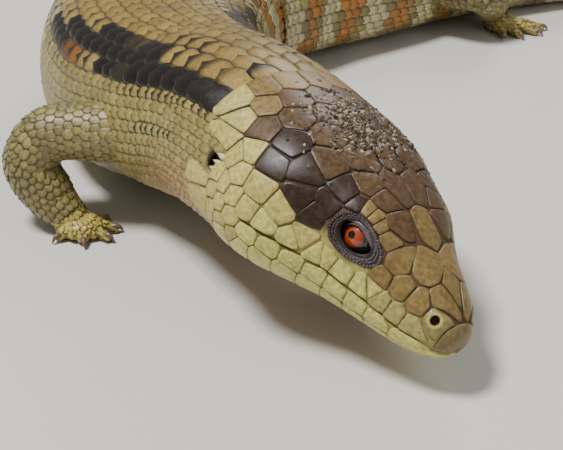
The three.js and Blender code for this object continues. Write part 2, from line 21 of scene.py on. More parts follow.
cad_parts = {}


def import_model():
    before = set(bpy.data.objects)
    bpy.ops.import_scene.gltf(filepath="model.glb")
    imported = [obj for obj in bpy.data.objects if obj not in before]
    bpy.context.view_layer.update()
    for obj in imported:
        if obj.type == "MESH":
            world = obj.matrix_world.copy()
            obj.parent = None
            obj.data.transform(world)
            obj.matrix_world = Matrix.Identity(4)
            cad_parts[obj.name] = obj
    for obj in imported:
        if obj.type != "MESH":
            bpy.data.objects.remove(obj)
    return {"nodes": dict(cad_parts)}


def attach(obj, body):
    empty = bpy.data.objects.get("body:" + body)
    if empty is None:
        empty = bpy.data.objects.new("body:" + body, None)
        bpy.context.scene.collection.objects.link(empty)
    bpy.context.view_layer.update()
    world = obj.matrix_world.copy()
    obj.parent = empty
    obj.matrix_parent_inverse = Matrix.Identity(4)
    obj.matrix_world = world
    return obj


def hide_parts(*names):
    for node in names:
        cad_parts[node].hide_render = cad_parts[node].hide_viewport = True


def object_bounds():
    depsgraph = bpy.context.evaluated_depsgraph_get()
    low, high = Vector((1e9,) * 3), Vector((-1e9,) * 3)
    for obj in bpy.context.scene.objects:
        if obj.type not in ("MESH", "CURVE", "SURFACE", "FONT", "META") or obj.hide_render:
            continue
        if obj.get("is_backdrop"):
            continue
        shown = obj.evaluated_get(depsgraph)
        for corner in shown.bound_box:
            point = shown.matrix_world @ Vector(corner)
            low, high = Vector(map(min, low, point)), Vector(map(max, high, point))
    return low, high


LOG = logging.getLogger("skink")
MM = 0.001
SEED = 7
BODY = "root"
BAKE_MAP = "OFBake"
PATCH = 0.003

Piece = bpy.types.Object
Finish = bpy.types.Material
Triple = tuple[NDArray, NDArray, NDArray]

# Where the part's origin lies on the floor that SPINE and the legs are given on.
CENTRE = (81.0, 365.0)
# Nostril and ear, forward of the ears' line and round from the midline.
NOSTRIL = (54.2, 7.6)
EAR = (-3.2, 35.8)
NO_QUADS = np.zeros((0, 4), int)
NO_TRIS = np.zeros((0, 3), int)

# A section: half width, heights of its top, widest level and underside, and how square each half is.
SECTION_NAMES = ("w", "top", "mid", "low", "sq", "sq_low")
# The head's sections, each after its distance behind the snout's tip.
HEAD_SECTIONS = (
    (0, 0.6, 5.4, 4.9, 4.4, 2, 2),
    (0.8, 3.6, 8.2, 4.6, 1.4, 2.1, 2),
    (2.6, 5.9, 10.1, 4.1, -1, 2.3, 2.2),
    (5.5, 7.8, 11.9, 3.5, -2.7, 2.5, 2.3),
    (10, 9.9, 13.9, 3, -4.2, 2.6, 2.3),
    (16, 12.3, 16, 2.5, -5.6, 2.7, 2.3),
    (22, 14.8, 18.2, 2.2, -6.9, 2.8, 2.3),
    (28, 17, 20.2, 2, -8.6, 2.8, 2.3),
    (35, 21.2, 22, 1.5, -10.8, 2.7, 2.3),
    (43, 25.4, 23.4, 0.8, -13.6, 2.6, 2.3),
    (51, 27, 24, 0.3, -15.8, 2.5, 2.3),
    (59.0, 26, 24, 0, -17.5, 2.4, 2.2),
)
# The sections at the spine's keys.
BODY_SECTIONS = {
    "nape": (25, 23.2, 0, -20, 2.3, 2.2),
    "neck": (24.4, 22, -1, -22, 2.2, 2.2),
    "shoulder": (27, 21, -3, -23, 2.2, 2.3),
    "chest": (31.5, 22.5, -5, -26.2, 2.2, 2.4),
    "ribs": (35, 24, -5, -26, 2.2, 2.5),
    "waist": (35.5, 24, -5, -25.6, 2.2, 2.5),
    "loin": (33, 23.2, -4, -25, 2.2, 2.4),
    "hip": (26.5, 20, -3, -22.4, 2.2, 2.3),
    "vent": (19.5, 16, -1.5, -17.6, 2.1, 2.2),
    "tail_base": (15, 12.8, 0, -13.4, 2, 2.1),
    "tail_mid": (11.8, 10.2, 0, -10.3, 2, 2.1),
    "tail_thin": (8.4, 7.4, 0, -7.5, 2, 2),
    "tail_end": (5.2, 4.7, 0, -4.9, 2, 2),
    "tail_point": (3, 2.8, 0, -3.2, 2, 2),
    "tail_tip": (0.7, 0.8, 0, -1.4, 2, 2),
}
# The spine's keys: place on the floor, height, and how far the body leans to one side, in degrees.
SPINE = (
    ("nape", -5.5, 281, 31.5, 16),
    ("neck", -12, 292, 32.5, 10),
    ("shoulder", -22, 309, 30.5, 4),
    ("chest", -33, 335, 27, 0),
    ("ribs", -37, 367, 25, 0),
    ("waist", -30, 402, 24.5, 0),
    ("loin", -5, 424, 24, 0),
    ("hip", 29, 440, 21.5, 0),
    ("vent", 60, 455, 17, 0),
    ("tail_base", 97, 467, 13, 0),
    ("tail_mid", 135, 474, 10, 0),
    ("tail_thin", 174, 467, 7.2, 0),
    ("tail_end", 208, 448, 4.6, 0),
    ("tail_point", 226, 429, 2.6, 0),
    ("tail_tip", 233, 419, 1.5, 0),
)
# The head's swellings and hollows: forward, aside, up, how wide and how high.
RELIEF = (
    (32, 14, 17.5, 6.5, 1.1),
    (43, 10.5, 9, 5, -0.8),
    (22, 18.5, 13, 5, -0.9),
    (9, 24, 2, 8, 1.2),
    (30, 18, 4.5, 5, 0.5),
    (46, 12, 4.5, 5, 0.4),
    (53.5, 6, 8, 3, 0.35),
)


def smoothed(places: NDArray, values: NDArray, at: NDArray) -> NDArray:
    """Read a cubic curve through keys.

    Args:
        places: where the keys are, rising.
        values: the keys' values.
        at: where to read the curve.

    Returns:
        The curve's values at those places.
    """
    at = np.asarray(at, dtype=float)
    last = len(places) - 1
    i = np.clip(np.searchsorted(places, at, side="left") - 1, 0, last - 1)
    before = np.maximum(np.arange(last + 1) - 1, 0)
    after = np.minimum(np.arange(last + 1) + 1, last)
    slope = (values[after] - values[before]) / (places[after] - places[before])
    span = places[i + 1] - places[i]
    t = np.clip((at - places[i]) / span, 0.0, 1.0)
    t2, t3 = t * t, t * t * t
    return (
        (2 * t3 - 3 * t2 + 1) * values[i]
        + (t3 - 2 * t2 + t) * span * slope[i]
        + (3 * t2 - 2 * t3) * values[i + 1]
        + (t3 - t2) * span * slope[i + 1]
    )


def unit(vectors: NDArray) -> NDArray:
    """Scale vectors to length one."""
    length = np.linalg.norm(vectors, axis=-1, keepdims=True)
    return vectors / np.maximum(length, 1e-12)


def smoothstep(low: float, high: float, x: NDArray) -> NDArray:
    """Ease from 0 at low to 1 at high."""
    t = np.clip((np.asarray(x, dtype=float) - low) / (high - low), 0.0, 1.0)
    return t * t * (3 - 2 * t)


def turns(count: int) -> NDArray:
    """List the angles of evenly spaced points round a circle."""
    return 2 * np.pi * np.arange(count) / count


def grid_faces(rows: int, columns: int) -> NDArray:
    """List the four-cornered faces between the points of a grid."""
    index = np.arange(rows * columns).reshape(rows, columns)
    return np.stack([index[:-1, :-1], index[:-1, 1:], index[1:, 1:], index[1:, :-1]], -1).reshape(-1, 4)


def ring_faces(rows: int, sides: int) -> tuple[NDArray, NDArray]:
    """List the four-cornered faces between rings of points, and the fan from the last ring to its middle."""
    index = np.arange(rows * sides).reshape(rows, sides)
    after = np.roll(index, -1, axis=1)
    quads = np.stack([index[:-1], after[:-1], after[1:], index[1:]], -1).reshape(-1, 4)
    return quads, np.stack([index[-1], after[-1], np.full(sides, rows * sides)], -1)


@dataclass
class BodyForm:
    """The plain form of head, trunk and tail, as sections along a bent spine, in millimetres."""

    head_length: float = 59.0
    nod: float = 16.0
    centre: tuple[float, float] = CENTRE
    ear: tuple[float, float, float] = (2.7, 269.3, 28.0)
    yaw: float = -54.4
    pitch: float = -19.3
    roll: float = 19.7
    eye: tuple[float, float, float] = (31.0, 11.2, 11.6)
    lid_reach: float = 5.35
    depth: float = 0.4
    sides: int = 160
    shares: int = 120

    def __post_init__(self) -> None:
        """Work out the spine, the head's axes and the tables of girth."""
        yaw, pitch = math.radians(self.yaw), math.radians(self.pitch)
        self.ahead = np.array(
            [math.cos(yaw) * math.cos(pitch), math.sin(yaw) * math.cos(pitch), math.sin(pitch)]
        )
        self.offset = np.array([self.centre[0], self.centre[1], 0.0])
        self.ear_centre = np.array(self.ear) - self.offset
        places: list[float] = []
        points: list[NDArray] = []
        rolls: list[float] = []
        for share in (0.0, 0.35, 0.7, 1.0):
            places.append(self.head_length * share)
            points.append(self.ear_centre + self.ahead * self.head_length * (1 - share))
            rolls.append(self.roll)
        sections = [dict(zip(SECTION_NAMES, row[1:])) | {"u": row[0]} for row in HEAD_SECTIONS]
        for name, x, y, z, roll in SPINE:
            point = np.array([x, y, z]) - self.offset
            places.append(places[-1] + float(np.linalg.norm(point - points[-1])))
            points.append(point)
            rolls.append(roll)
            sections.append(dict(zip(SECTION_NAMES, BODY_SECTIONS[name])) | {"u": places[-1]})
        self.places = np.array(places)
        self.points = np.array(points)
        self.rolls = np.array(rolls)
        self.length = places[-1]
        self.section_at = np.array([row["u"] for row in sections])
        self.section = {n: np.array([row[n] for row in sections]) for n in SECTION_NAMES}
        self._measure()

    def frame(self, u: NDArray) -> tuple[NDArray, NDArray, NDArray, NDArray]:
        """Read the spine.

        Args:
            u: distances behind the snout tip.

        Returns:
            The spine's points, and its directions forward, left and up.
        """
        u = np.asarray(u, dtype=float)

        def read(at: NDArray) -> NDArray:
            """Read the spine's points alone."""
            return np.stack([smoothed(self.places, self.points[:, k], at) for k in range(3)], -1)

        tangent = unit(read(u - 0.5) - read(u + 0.5))
        nod = smoothstep(self.head_length, self.head_length + self.nod, u)[..., None]
        forward = unit(self.ahead * (1 - nod) + tangent * nod)
        flat_left = unit(np.cross(np.array([0.0, 0.0, 1.0]), forward))
        flat_up = np.cross(forward, flat_left)
        roll = np.radians(smoothed(self.places, self.rolls, u))[..., None]
        left = np.cos(roll) * flat_left - np.sin(roll) * flat_up
        up = np.sin(roll) * flat_left + np.cos(roll) * flat_up
        return read(u), forward, left, up

    def in_head(self, x: NDArray, y: NDArray, z: NDArray) -> NDArray:
        """Place points given forward of the ears, to the left and up, in the head's own terms."""
        _, forward, left, up = self.frame(np.array(0.0))
        x, y, z = (np.asarray(v, dtype=float)[..., None] for v in (x, y, z))
        return self.ear_centre + x * forward + y * left + z * up

    def at_angle(self, u: NDArray, angle: NDArray) -> NDArray:
        """Find the skin's points.

        Args:
            u: distances behind the snout tip.
            angle: turns from the left side over the back, in radians.

        Returns:
            The points, with the head's swellings and the eyes' bulge, before the floor flattens them.
        """
        u, angle = np.broadcast_arrays(np.asarray(u, float), np.asarray(angle, float))
        s = {n: smoothed(self.section_at, self.section[n], u) for n in SECTION_NAMES}
        c, d = np.cos(angle), np.sin(angle)
        power = 2 / np.where(d >= 0, s["sq"], s["sq_low"])
        across = s["w"] * np.sign(c) * np.abs(c) ** power
        reach = np.where(d >= 0, s["top"] - s["mid"], s["mid"] - s["low"])
        over = s["mid"] + reach * np.sign(d) * np.abs(d) ** power
        rise = np.zeros_like(u)
        for x, y, z, far, high in RELIEF:
            away = (self.head_length - u - x) ** 2 + (np.abs(across) - y) ** 2 + (over - z) ** 2
            rise = rise + high * np.exp(-away / far**2)
        out = unit(np.stack([across, over - s["mid"]], -1)) * rise[..., None]
        across, over = across + out[..., 0], over + out[..., 1]
        ex, ey, ez = self.eye
        away = np.stack([self.head_length - u - ex, np.abs(across) - ey, over - ez], -1)
        far = np.linalg.norm(away, axis=-1)
        soft = 0.9
        grown = np.logaddexp(far / soft, self.lid_reach / soft) * soft
        push = np.where(far < 14, grown - far, 0.0)[..., None] * away / far[..., None]
        across = across + push[..., 1] * np.sign(across)
        over = over + push[..., 2]
        centre, _, left, up = self.frame(u)
        return centre + across[..., None] * left + over[..., None] * up

    def _measure(self) -> None:
        """Tabulate the angle at each share of the half girth, from the back's midline to the belly's."""
        self.table_u = np.concatenate([np.arange(0.0, 70.0, 0.5), np.arange(70.0, self.length, 2.0)])
        self.table_u = np.append(self.table_u, self.length)
        steps = 180
        angles = np.pi / 2 - np.pi * np.arange(steps + 1) / steps
        ring = self.at_angle(self.table_u[:, None], angles[None, :])
        run = np.linalg.norm(np.diff(ring, axis=1), axis=-1)
        arc = np.concatenate([np.zeros((len(ring), 1)), np.cumsum(run, axis=1)], axis=1)
        self.half_girth = arc[:, -1]
        share = np.linspace(0, 1, self.shares + 1)
        self.angle_table = np.stack([np.interp(share * row[-1], row, angles) for row in arc])

    def girth(self, u: NDArray) -> NDArray:
        """Read the distance round the skin from the back's midline to the belly's."""
        return np.interp(u, self.table_u, self.half_girth)

    def on_head(self, x: NDArray, q: NDArray) -> tuple[NDArray, NDArray]:
        """Turn places forward of the ears and round from the midline into distances and shares."""
        u = self.head_length - x
        return u, q / self.girth(u)

    def skin(self, u: NDArray, v: NDArray, lift: NDArray | float = 0.0) -> NDArray:
        """Find points on or over the skin.

        Args:
            u: distances behind the snout tip.
            v: shares of the half girth from the back's midline, left positive.
            lift: heights over the skin.

        Returns:
            The points, never below the floor.
        """
        u, v, lift = np.broadcast_arrays(np.asarray(u, float), np.asarray(v, float), np.asarray(lift, float))
        u = np.clip(u, 0.02, self.length)
        near, far = np.clip(u - 0.3, 0.02, self.length), np.clip(u + 0.3, 0.02, self.length)
        along = self._plain(far, v) - self._plain(near, v)
        around = self._plain(u, v + 0.01) - self._plain(u, v - 0.01)
        away = unit(np.cross(around, along))
        point = self._plain(u, v) + away * (lift - self.depth * smoothstep(0, 2, u))[..., None]
        point[..., 2] = np.maximum(point[..., 2], np.clip(0.3 - 0.7 * lift, 0.0, 0.3))
        return point

    def _plain(self, u: NDArray, v: NDArray) -> NDArray:
        """Find the skin's points from distance and signed share of the half girth."""
        turned = np.abs(v)
        side = np.where(v < 0, -1.0, 1.0)
        over = turned > 1
        turned, side = np.where(over, 2 - turned, turned), np.where(over, -side, side)
        row = np.interp(u, self.table_u, np.arange(len(self.table_u)))
        i = np.clip(row.astype(int), 0, len(self.table_u) - 2)
        f = row - i
        column = np.clip(turned, 0, 1) * self.shares
        j = np.clip(column.astype(int), 0, self.shares - 1)
        g = column - j
        t = self.angle_table
        angle = (1 - f) * ((1 - g) * t[i, j] + g * t[i, j + 1]) + f * (
            (1 - g) * t[i + 1, j] + g * t[i + 1, j + 1]
        )
        return self.at_angle(u, np.where(side < 0, np.pi - angle, angle))


@dataclass
class Limb:
    """A leg's plain form: the bone's line with the limb's radius, the sole and its toes."""

    name: str
    line: tuple[tuple[float, float, float, float], ...]
    heading: float
    toes: tuple[tuple[float, float], ...]
    offset: tuple[float, float] = CENTRE
    sole: tuple[float, float, float, float] = (6.6, 5.6, 2.4, 3.4)
    toe_root: float = 2.1
    toe_tip: float = 1.45
    knuckle: float = 3.0
    claw: float = 2.6

    def __post_init__(self) -> None:
        """Lay the line out in the frame of the body."""
        keys = np.array(self.line, dtype=float)
        keys[:, :2] -= np.array(self.offset)
        self.keys = keys
        self.places = self._run(keys)
        self.length = float(self.places[-1])
        self.across = unit(np.array([keys[1, 1] - keys[0, 1], keys[0, 0] - keys[1, 0], 0.0]))
        heading = math.radians(self.heading)
        self.ahead = np.array([math.cos(heading), math.sin(heading), 0.0])
        self.middle = np.array([keys[-1, 0], keys[-1, 1], self.sole[2]]) + self.ahead * (self.sole[0] * 0.45)

    def tubes(self) -> list[Triple]:
        """List the tubes of the leg: its line, then each toe's.

        Returns:
            For each tube its places, its keys of x, y, z and radius, and its across direction.
        """
        tubes = [(self.places, self.keys, self.across)]
        for turn, reach in self.toes:
            far = (reach - self.claw) * np.array([0.0, 0.45, 0.8, 1.0])
            radius = (self.toe_root, self.toe_root * 0.95, self.toe_tip * 1.08, self.toe_tip)
            tubes.append(self._digit(turn, far, (2.6, self.knuckle, 2.0, 1.4), radius))
        return tubes

    def claws(self) -> list[Triple]:
        """List the claws as tubes, in the same terms as the toes."""
        made = []
        for turn, reach in self.toes:
            tip = reach - self.claw
            far = np.array([tip - 1.0, tip + self.claw * 0.35, tip + self.claw * 0.75, reach])
            made.append(self._digit(turn, far, (1.75, 2.1, 1.5, 0.3), (0.85, 0.72, 0.45, 0.1)))
        return made

    def _digit(
        self, turn: float, far: NDArray, high: tuple[float, ...], radius: tuple[float, ...]
    ) -> Triple:
        """Lay out a toe or a claw from the sole's middle.

        Args:
            turn: its angle from the foot's heading.
            far: how far out its keys are.
            high: their heights.
            radius: their radii.

        Returns:
            The same as each of `tubes`.
        """
        way = math.radians(self.heading + turn)
        flat = [self.middle[0] + far * math.cos(way), self.middle[1] + far * math.sin(way)]
        keys = np.stack([*flat, np.array(high), np.array(radius)], -1)
        return self._run(keys), keys, np.array([-math.sin(way), math.cos(way), 0.0])

    @staticmethod
    def _run(keys: NDArray) -> NDArray:
        """Measure the distance along keys."""
        steps = np.linalg.norm(np.diff(keys[:, :3], axis=0), axis=1)
        return np.concatenate([[0.0], np.cumsum(steps)])


def tube_points(tube: Triple, at: NDArray, turn: NDArray, lift: float = 0.0) -> Triple:
    """Find points on a tube.

    Args:
        tube: its places, keys and across direction.
        at: distances along it.
        turn: angles round it.
        lift: height over its surface.

    Returns:
        The points, the outward directions and the directions along the tube.
    """
    places, keys, across = tube
    at, turn = np.broadcast_arrays(np.asarray(at, float), np.asarray(turn, float))

    def read(place: NDArray) -> NDArray:
        """Read the tube's line."""
        return np.stack([smoothed(places, keys[:, k], place) for k in range(3)], -1)

    run = unit(read(at + 0.2) - read(at - 0.2))
    a = unit(np.cross(np.broadcast_to(across, run.shape), run))
    b = np.cross(run, a)
    radius = smoothed(places, keys[:, 3], at)[..., None]
    out = a * np.cos(turn)[..., None] + b * np.sin(turn)[..., None]
    point = read(at) + out * (radius + lift)
    point[..., 2] = np.maximum(point[..., 2], 0.0)
    return point, out, run


LIMBS = (
    Limb(
        "fore_right",
        (
            (-30, 299, 27, 10.5),
            (-46, 299, 26.5, 8.2),
            (-59.5, 300, 25, 7.6),
            (-64.5, 298.5, 18, 7.6),
            (-60.5, 296.5, 10, 7.0),
            (-55.5, 294, 5, 5.2),
        ),
        -23.0,
        ((-112, 8.6), (-50, 9.2), (-6, 11.2), (24, 11.6), (62, 9.6)),
    ),
    Limb(
        "fore_left",
        (
            (-10, 312, 26, 10.5),
            (6, 321, 24, 8.0),
            (15, 329, 17.5, 6.8),
            (20, 329, 12, 6.2),
            (25, 323, 8, 5.4),
            (27, 318, 4.6, 4.6),
        ),
        -45.0,
        ((-66, 8.6), (-30, 10.4), (0, 11.4), (30, 11), (64, 9.2)),
    ),
    Limb(
        "hind_left",
        (
            (42, 446, 17, 11.5),
            (54, 433, 19, 9.2),
            (66, 424, 19, 7.4),
            (72, 428, 14, 6.4),
            (73.5, 435, 9, 5.6),
            (76, 438.5, 4.8, 4.8),
        ),
        -45.0,
        ((-50, 10.5), (-14, 12.5), (18, 15.5), (40, 16.5), (64, 11)),
    ),
    Limb(
        "hind_right",
        (
            (36, 452, 17, 11.5),
            (27, 467, 19, 9.2),
            (18, 479, 19, 7.4),
            (21, 485, 13.5, 6.4),
            (26, 487.5, 8.5, 5.6),
            (26.5, 491, 4.8, 4.8),
        ),
        130.0,
        ((66, 9.5), (34, 12), (4, 14.5), (-22, 15.5), (-60, 11)),
    ),
)


def linear(code: str) -> tuple[float, float, float]:
    """Turn an sRGB hex colour into linear red, green and blue."""
    parts = [int(code[i : i + 2], 16) / 255 for i in (1, 3, 5)]
    red, green, blue = (p / 12.92 if p <= 0.04045 else ((p + 0.055) / 1.055) ** 2.4 for p in parts)
    return red, green, blue


class Tone(Enum):
    """The colours of the living animal's scales, as sRGB; the throat's tone and the flesh of nostrils and
    ears also hold painted light.
    """

    BACK = "#8A7238"
    FLANK = "#988A50"
    BELLY = "#C3B98C"
    CREAM = "#D2C79A"
    ORANGE = "#B0701F"
    BROWN = "#55462F"
    BLACK = "#0C0705"
    CROWN = "#553F26"
    SNOUT = "#7C6538"
    NASAL = "#8C7B4A"
    ROSTRAL = "#75623C"
    TEMPLE = "#302014"
    CHEEK = "#B3A65C"
    LIP = "#C6BE68"
    FRONT_LIP = "#9A8E52"
    # Pale throat, with a painted orange glow of light reflected up from below.
    THROAT_AND_GLOW = "#BE8F58"
    LEG = "#857A4C"
    LEG_PALE = "#A89A58"
    TOE = "#CDB65A"
    EYE_RIM = "#2A1F1C"
    LID = "#5E5056"
    # Flesh red of nostrils and ears, made dark with painted shade inside the holes.
    SHADED_FLESH = "#5A1E14"
    CLAW = "#6A5148"


def tone(name: Tone) -> NDArray:
    """Read a tone as a linear colour."""
    return np.array(linear(name.value))


def mixed(a: NDArray, b: NDArray, share: NDArray) -> NDArray:
    """Blend colours by a share for each point."""
    share = np.asarray(share, dtype=float)[..., None]
    return a * (1 - share) + b * share


# The black stripe of neck and shoulder: distance behind the snout, and the girth's shares it lies between.
STRIPE = np.array(
    [
        (60, 0.3, 0.3),
        (68, 0.265, 0.345),
        (76, 0.25, 0.365),
        (86, 0.235, 0.372),
        (98, 0.205, 0.352),
        (106, 0.195, 0.335),
        (118, 0.195, 0.33),
        (129, 0.235, 0.345),
        (140, 0.27, 0.365),
        (150, 0.33, 0.37),
        (160, 0.36, 0.36),
    ]
)
# Where the crown's brown meets the cheek's yellow: forward of the ears, and round from the midline.
CHEEK_LINE = np.array([(-8, 24), (0, 30), (10, 31), (20, 27), (30, 24), (40, 17), (50, 11), (58, 6)])


@dataclass
class Markings:
    """Where each colour of the animal lies, told by distance behind the snout and share of the girth."""

    form: BodyForm
    band_start: float = 148.0
    band_first: float = 222.0
    band_pitch: float = 21.5

    def patch(self, u: NDArray, v: NDArray) -> NDArray:
        """Measure how far inside the black shoulder stripe a place is, in shares of the girth."""
        a, b = (np.interp(u, STRIPE[:, 0], STRIPE[:, k]) for k in (1, 2))
        return (b - a) / 2 - np.abs(np.abs(v) - (a + b) / 2)

    def body(self, u: NDArray, v: NDArray, chance: NDArray) -> NDArray:
        """Colour a place of the trunk, neck or tail.

        Args:
            u: distances behind the snout tip.
            v: signed shares of the half girth.
            chance: a number from 0 to 1 for each place, that breaks the edges of the markings.

        Returns:
            Linear colours.
        """
        side = np.abs(v)
        wander = chance - 0.5
        throat = smoothstep(0.5, 0.72, side) * (1 - smoothstep(70, 100, u))
        wave = np.cos(2 * np.pi * (u - self.band_first) / self.band_pitch + 1.1 * wander)
        inside = smoothstep(self.band_start, self.band_start + 20, u + 10 * wander)
        pale = smoothstep(0.15, 0.5, wave) * inside
        dark = smoothstep(-0.05, 0.3, -wave) * inside * (1 - smoothstep(0.92, 0.95, side))
        orange = smoothstep(0.35, 0.8, -wave) * inside * smoothstep(0.22, 0.36, side)
        orange = orange * (1 - smoothstep(0.62, 0.74, side)) * (1 - smoothstep(300, 330, u))
        back_dark = 1 - smoothstep(0.1, 0.3, side) * 0.35
        stripe = self.patch(u, v) + 0.028 * wander
        stain = np.exp(-(((u - 128) / 5) ** 2) - ((side - 0.335) / 0.03) ** 2)
        coats = (
            (Tone.FLANK, smoothstep(0.2, 0.5, side)),
            (Tone.BELLY, smoothstep(0.66, 0.84, side + 0.05 * wander)),
            # The throat's tone carries painted reflected orange light.
            (Tone.THROAT_AND_GLOW, 0.75 * throat),
            (Tone.CREAM, 0.75 * pale * smoothstep(0.15, 0.4, side)),
            (Tone.BROWN, 0.8 * dark * back_dark),
            (Tone.ORANGE, 0.9 * orange),
            (Tone.BLACK, smoothstep(-0.004, 0.004, stripe)),
            (Tone.ORANGE, 0.55 * stain),
        )
        colour = tone(Tone.BACK)
        for name, share in coats:
            colour = mixed(colour, tone(name), share)
        return colour

    def edged(self, u: NDArray, v: NDArray, chance: NDArray) -> NDArray:
        """Tell how far a scale's rim is black, as on tan scales that jut into the black stripe."""
        side = np.abs(v)
        close = smoothstep(-0.06, -0.012, self.patch(u, v)) * (chance < 0.8)
        neck = smoothstep(66, 70, u) * (1 - smoothstep(92, 98, u))
        row = (np.abs(side - 0.13) < 0.03) | ((side < 0.04) & (u < 86))
        dashed = neck * row * (chance < 0.6)
        low = (np.abs(side - 0.5) < 0.022) & (u > 75) & (u < 92)
        return np.maximum(np.maximum(close, dashed), low)

    def head(self, x: NDArray, q: NDArray) -> NDArray:
        """Colour a place of the head between its shields, forward of the ears and round from the midline."""
        q = np.abs(q)
        edge = np.interp(x, CHEEK_LINE[:, 0], CHEEK_LINE[:, 1])
        colour = mixed(tone(Tone.CROWN), tone(Tone.CHEEK), smoothstep(edge - 1.5, edge + 1.5, q))
        # Below the cheeks lies the throat's tone, with its painted reflected glow.
        below = smoothstep(edge + 14, edge + 22, q)
        return mixed(colour, tone(Tone.THROAT_AND_GLOW), below)


@dataclass
class Plates:
    """Growing arrays of plates of one coat piece."""

    points: list[NDArray] = field(default_factory=list)
    quads: list[NDArray] = field(default_factory=list)
    tris: list[NDArray] = field(default_factory=list)
    colours: list[NDArray] = field(default_factory=list)
    edges: list[NDArray] = field(default_factory=list)
    maps: list[NDArray] = field(default_factory=list)
    count: int = 0

    def add(
        self, points: NDArray, quads: NDArray, tris: NDArray, colour: NDArray, edge: NDArray, bake: NDArray
    ) -> None:
        """Add plates that share one layout.

        Args:
            points: plates by points by 3.
            quads: the layout's four-cornered faces.
            tris: the layout's three-cornered faces.
            colour: one linear colour a plate, or one a point.
            edge: how near the plate's rim each point of the layout is.
            bake: the places on the bake map, plates by points by 2.
        """
        plates, size = points.shape[:2]
        starts = (self.count + np.arange(plates) * size)[:, None, None]
        self.points.append(points.reshape(-1, 3))
        if len(quads):
            self.quads.append((quads[None] + starts).reshape(-1, 4))
        if len(tris):
            self.tris.append((tris[None] + starts).reshape(-1, 3))
        if colour.ndim == 2:
            colour = np.repeat(colour[:, None], size, axis=1)
        self.colours.append(colour.reshape(-1, 3))
        self.edges.append(np.broadcast_to(edge, (plates, size)).reshape(-1))
        self.maps.append(bake.reshape(-1, 2))
        self.count += plates * size

    def triangles(self) -> int:
        """Count the triangles so far."""
        return 2 * sum(map(len, self.quads)) + sum(map(len, self.tris))

    def build(self, name: str, material: Finish) -> Piece:
        """Make one object of all the plates."""
        quads = np.concatenate(self.quads) if self.quads else NO_QUADS
        tris = np.concatenate(self.tris) if self.tris else NO_TRIS
        piece = make_mesh(name, np.concatenate(self.points), quads, tris, material)
        set_colour(piece, np.concatenate(self.colours))
        set_number(piece, "rim", np.concatenate(self.edges))
        set_map(piece, np.concatenate(self.maps))
        return piece


def make_mesh(name: str, points: NDArray, quads: NDArray, tris: NDArray, material: Finish) -> Piece:
    """Make a smooth-shaded object.

    Args:
        name: the object's name.
        points: its points in millimetres.
        quads: its four-cornered faces.
        tris: its three-cornered faces.
        material: its finish.

    Returns:
        The object, linked to the scene.
    """
    mesh = bpy.data.meshes.new(name)
    mesh.vertices.add(len(points))
    mesh.vertices.foreach_set("co", (np.asarray(points) * MM).ravel())
    corners = np.concatenate([np.asarray(quads).ravel(), np.asarray(tris).ravel()]).astype(np.int32)
    sizes = np.concatenate([np.full(len(quads), 4), np.full(len(tris), 3)]).astype(np.int32)
    mesh.loops.add(len(corners))
    mesh.loops.foreach_set("vertex_index", corners)
    mesh.polygons.add(len(sizes))
    starts = (np.cumsum(sizes) - sizes).astype(np.int32)
    mesh.polygons.foreach_set("loop_start", starts)
    mesh.polygons.foreach_set("loop_total", sizes)
    mesh.polygons.foreach_set("use_smooth", np.ones(len(sizes), dtype=bool))
    mesh.update(calc_edges=True)
    mesh.validate()
    mesh.materials.append(material)
    piece = bpy.data.objects.new(name, mesh)
    bpy.context.scene.collection.objects.link(piece)
    return piece


def set_colour(piece: Piece, colours: NDArray) -> None:
    """Store one linear colour a point, as the attribute that the finishes read."""
    layer = piece.data.color_attributes.new("hide", "FLOAT_COLOR", "POINT")
    filled = np.concatenate([colours, np.ones((len(colours), 1))], axis=1)
    layer.data.foreach_set("color", filled.astype(np.float32).ravel())


def set_number(piece: Piece, name: str, values: NDArray) -> None:
    """Store one number a point under a name."""
    layer = piece.data.attributes.new(name, "FLOAT", "POINT")
    layer.data.foreach_set("value", np.asarray(values, dtype=np.float32))


def set_vector(piece: Piece, name: str, values: NDArray) -> None:
    """Store one vector a point under a name."""
    layer = piece.data.attributes.new(name, "FLOAT_VECTOR", "POINT")
    layer.data.foreach_set("vector", np.asarray(values, dtype=np.float32).ravel())


def set_map(piece: Piece, places: NDArray) -> None:
    """Store each point's place on the bake map."""
    layer = piece.data.uv_layers.new(name=BAKE_MAP)
    corners = np.zeros(len(piece.data.loops), dtype=np.int32)
    piece.data.loops.foreach_get("vertex_index", corners)
    layer.data.foreach_set("uv", places[corners].astype(np.float32).ravel())


def body_map(form: BodyForm, u: NDArray, v: NDArray) -> NDArray:
    """Lay the body's skin out flat on the bake map, from the snout at the left."""
    return np.stack([0.01 + 0.98 * u / form.length, 0.4 + 0.38 * v], -1)


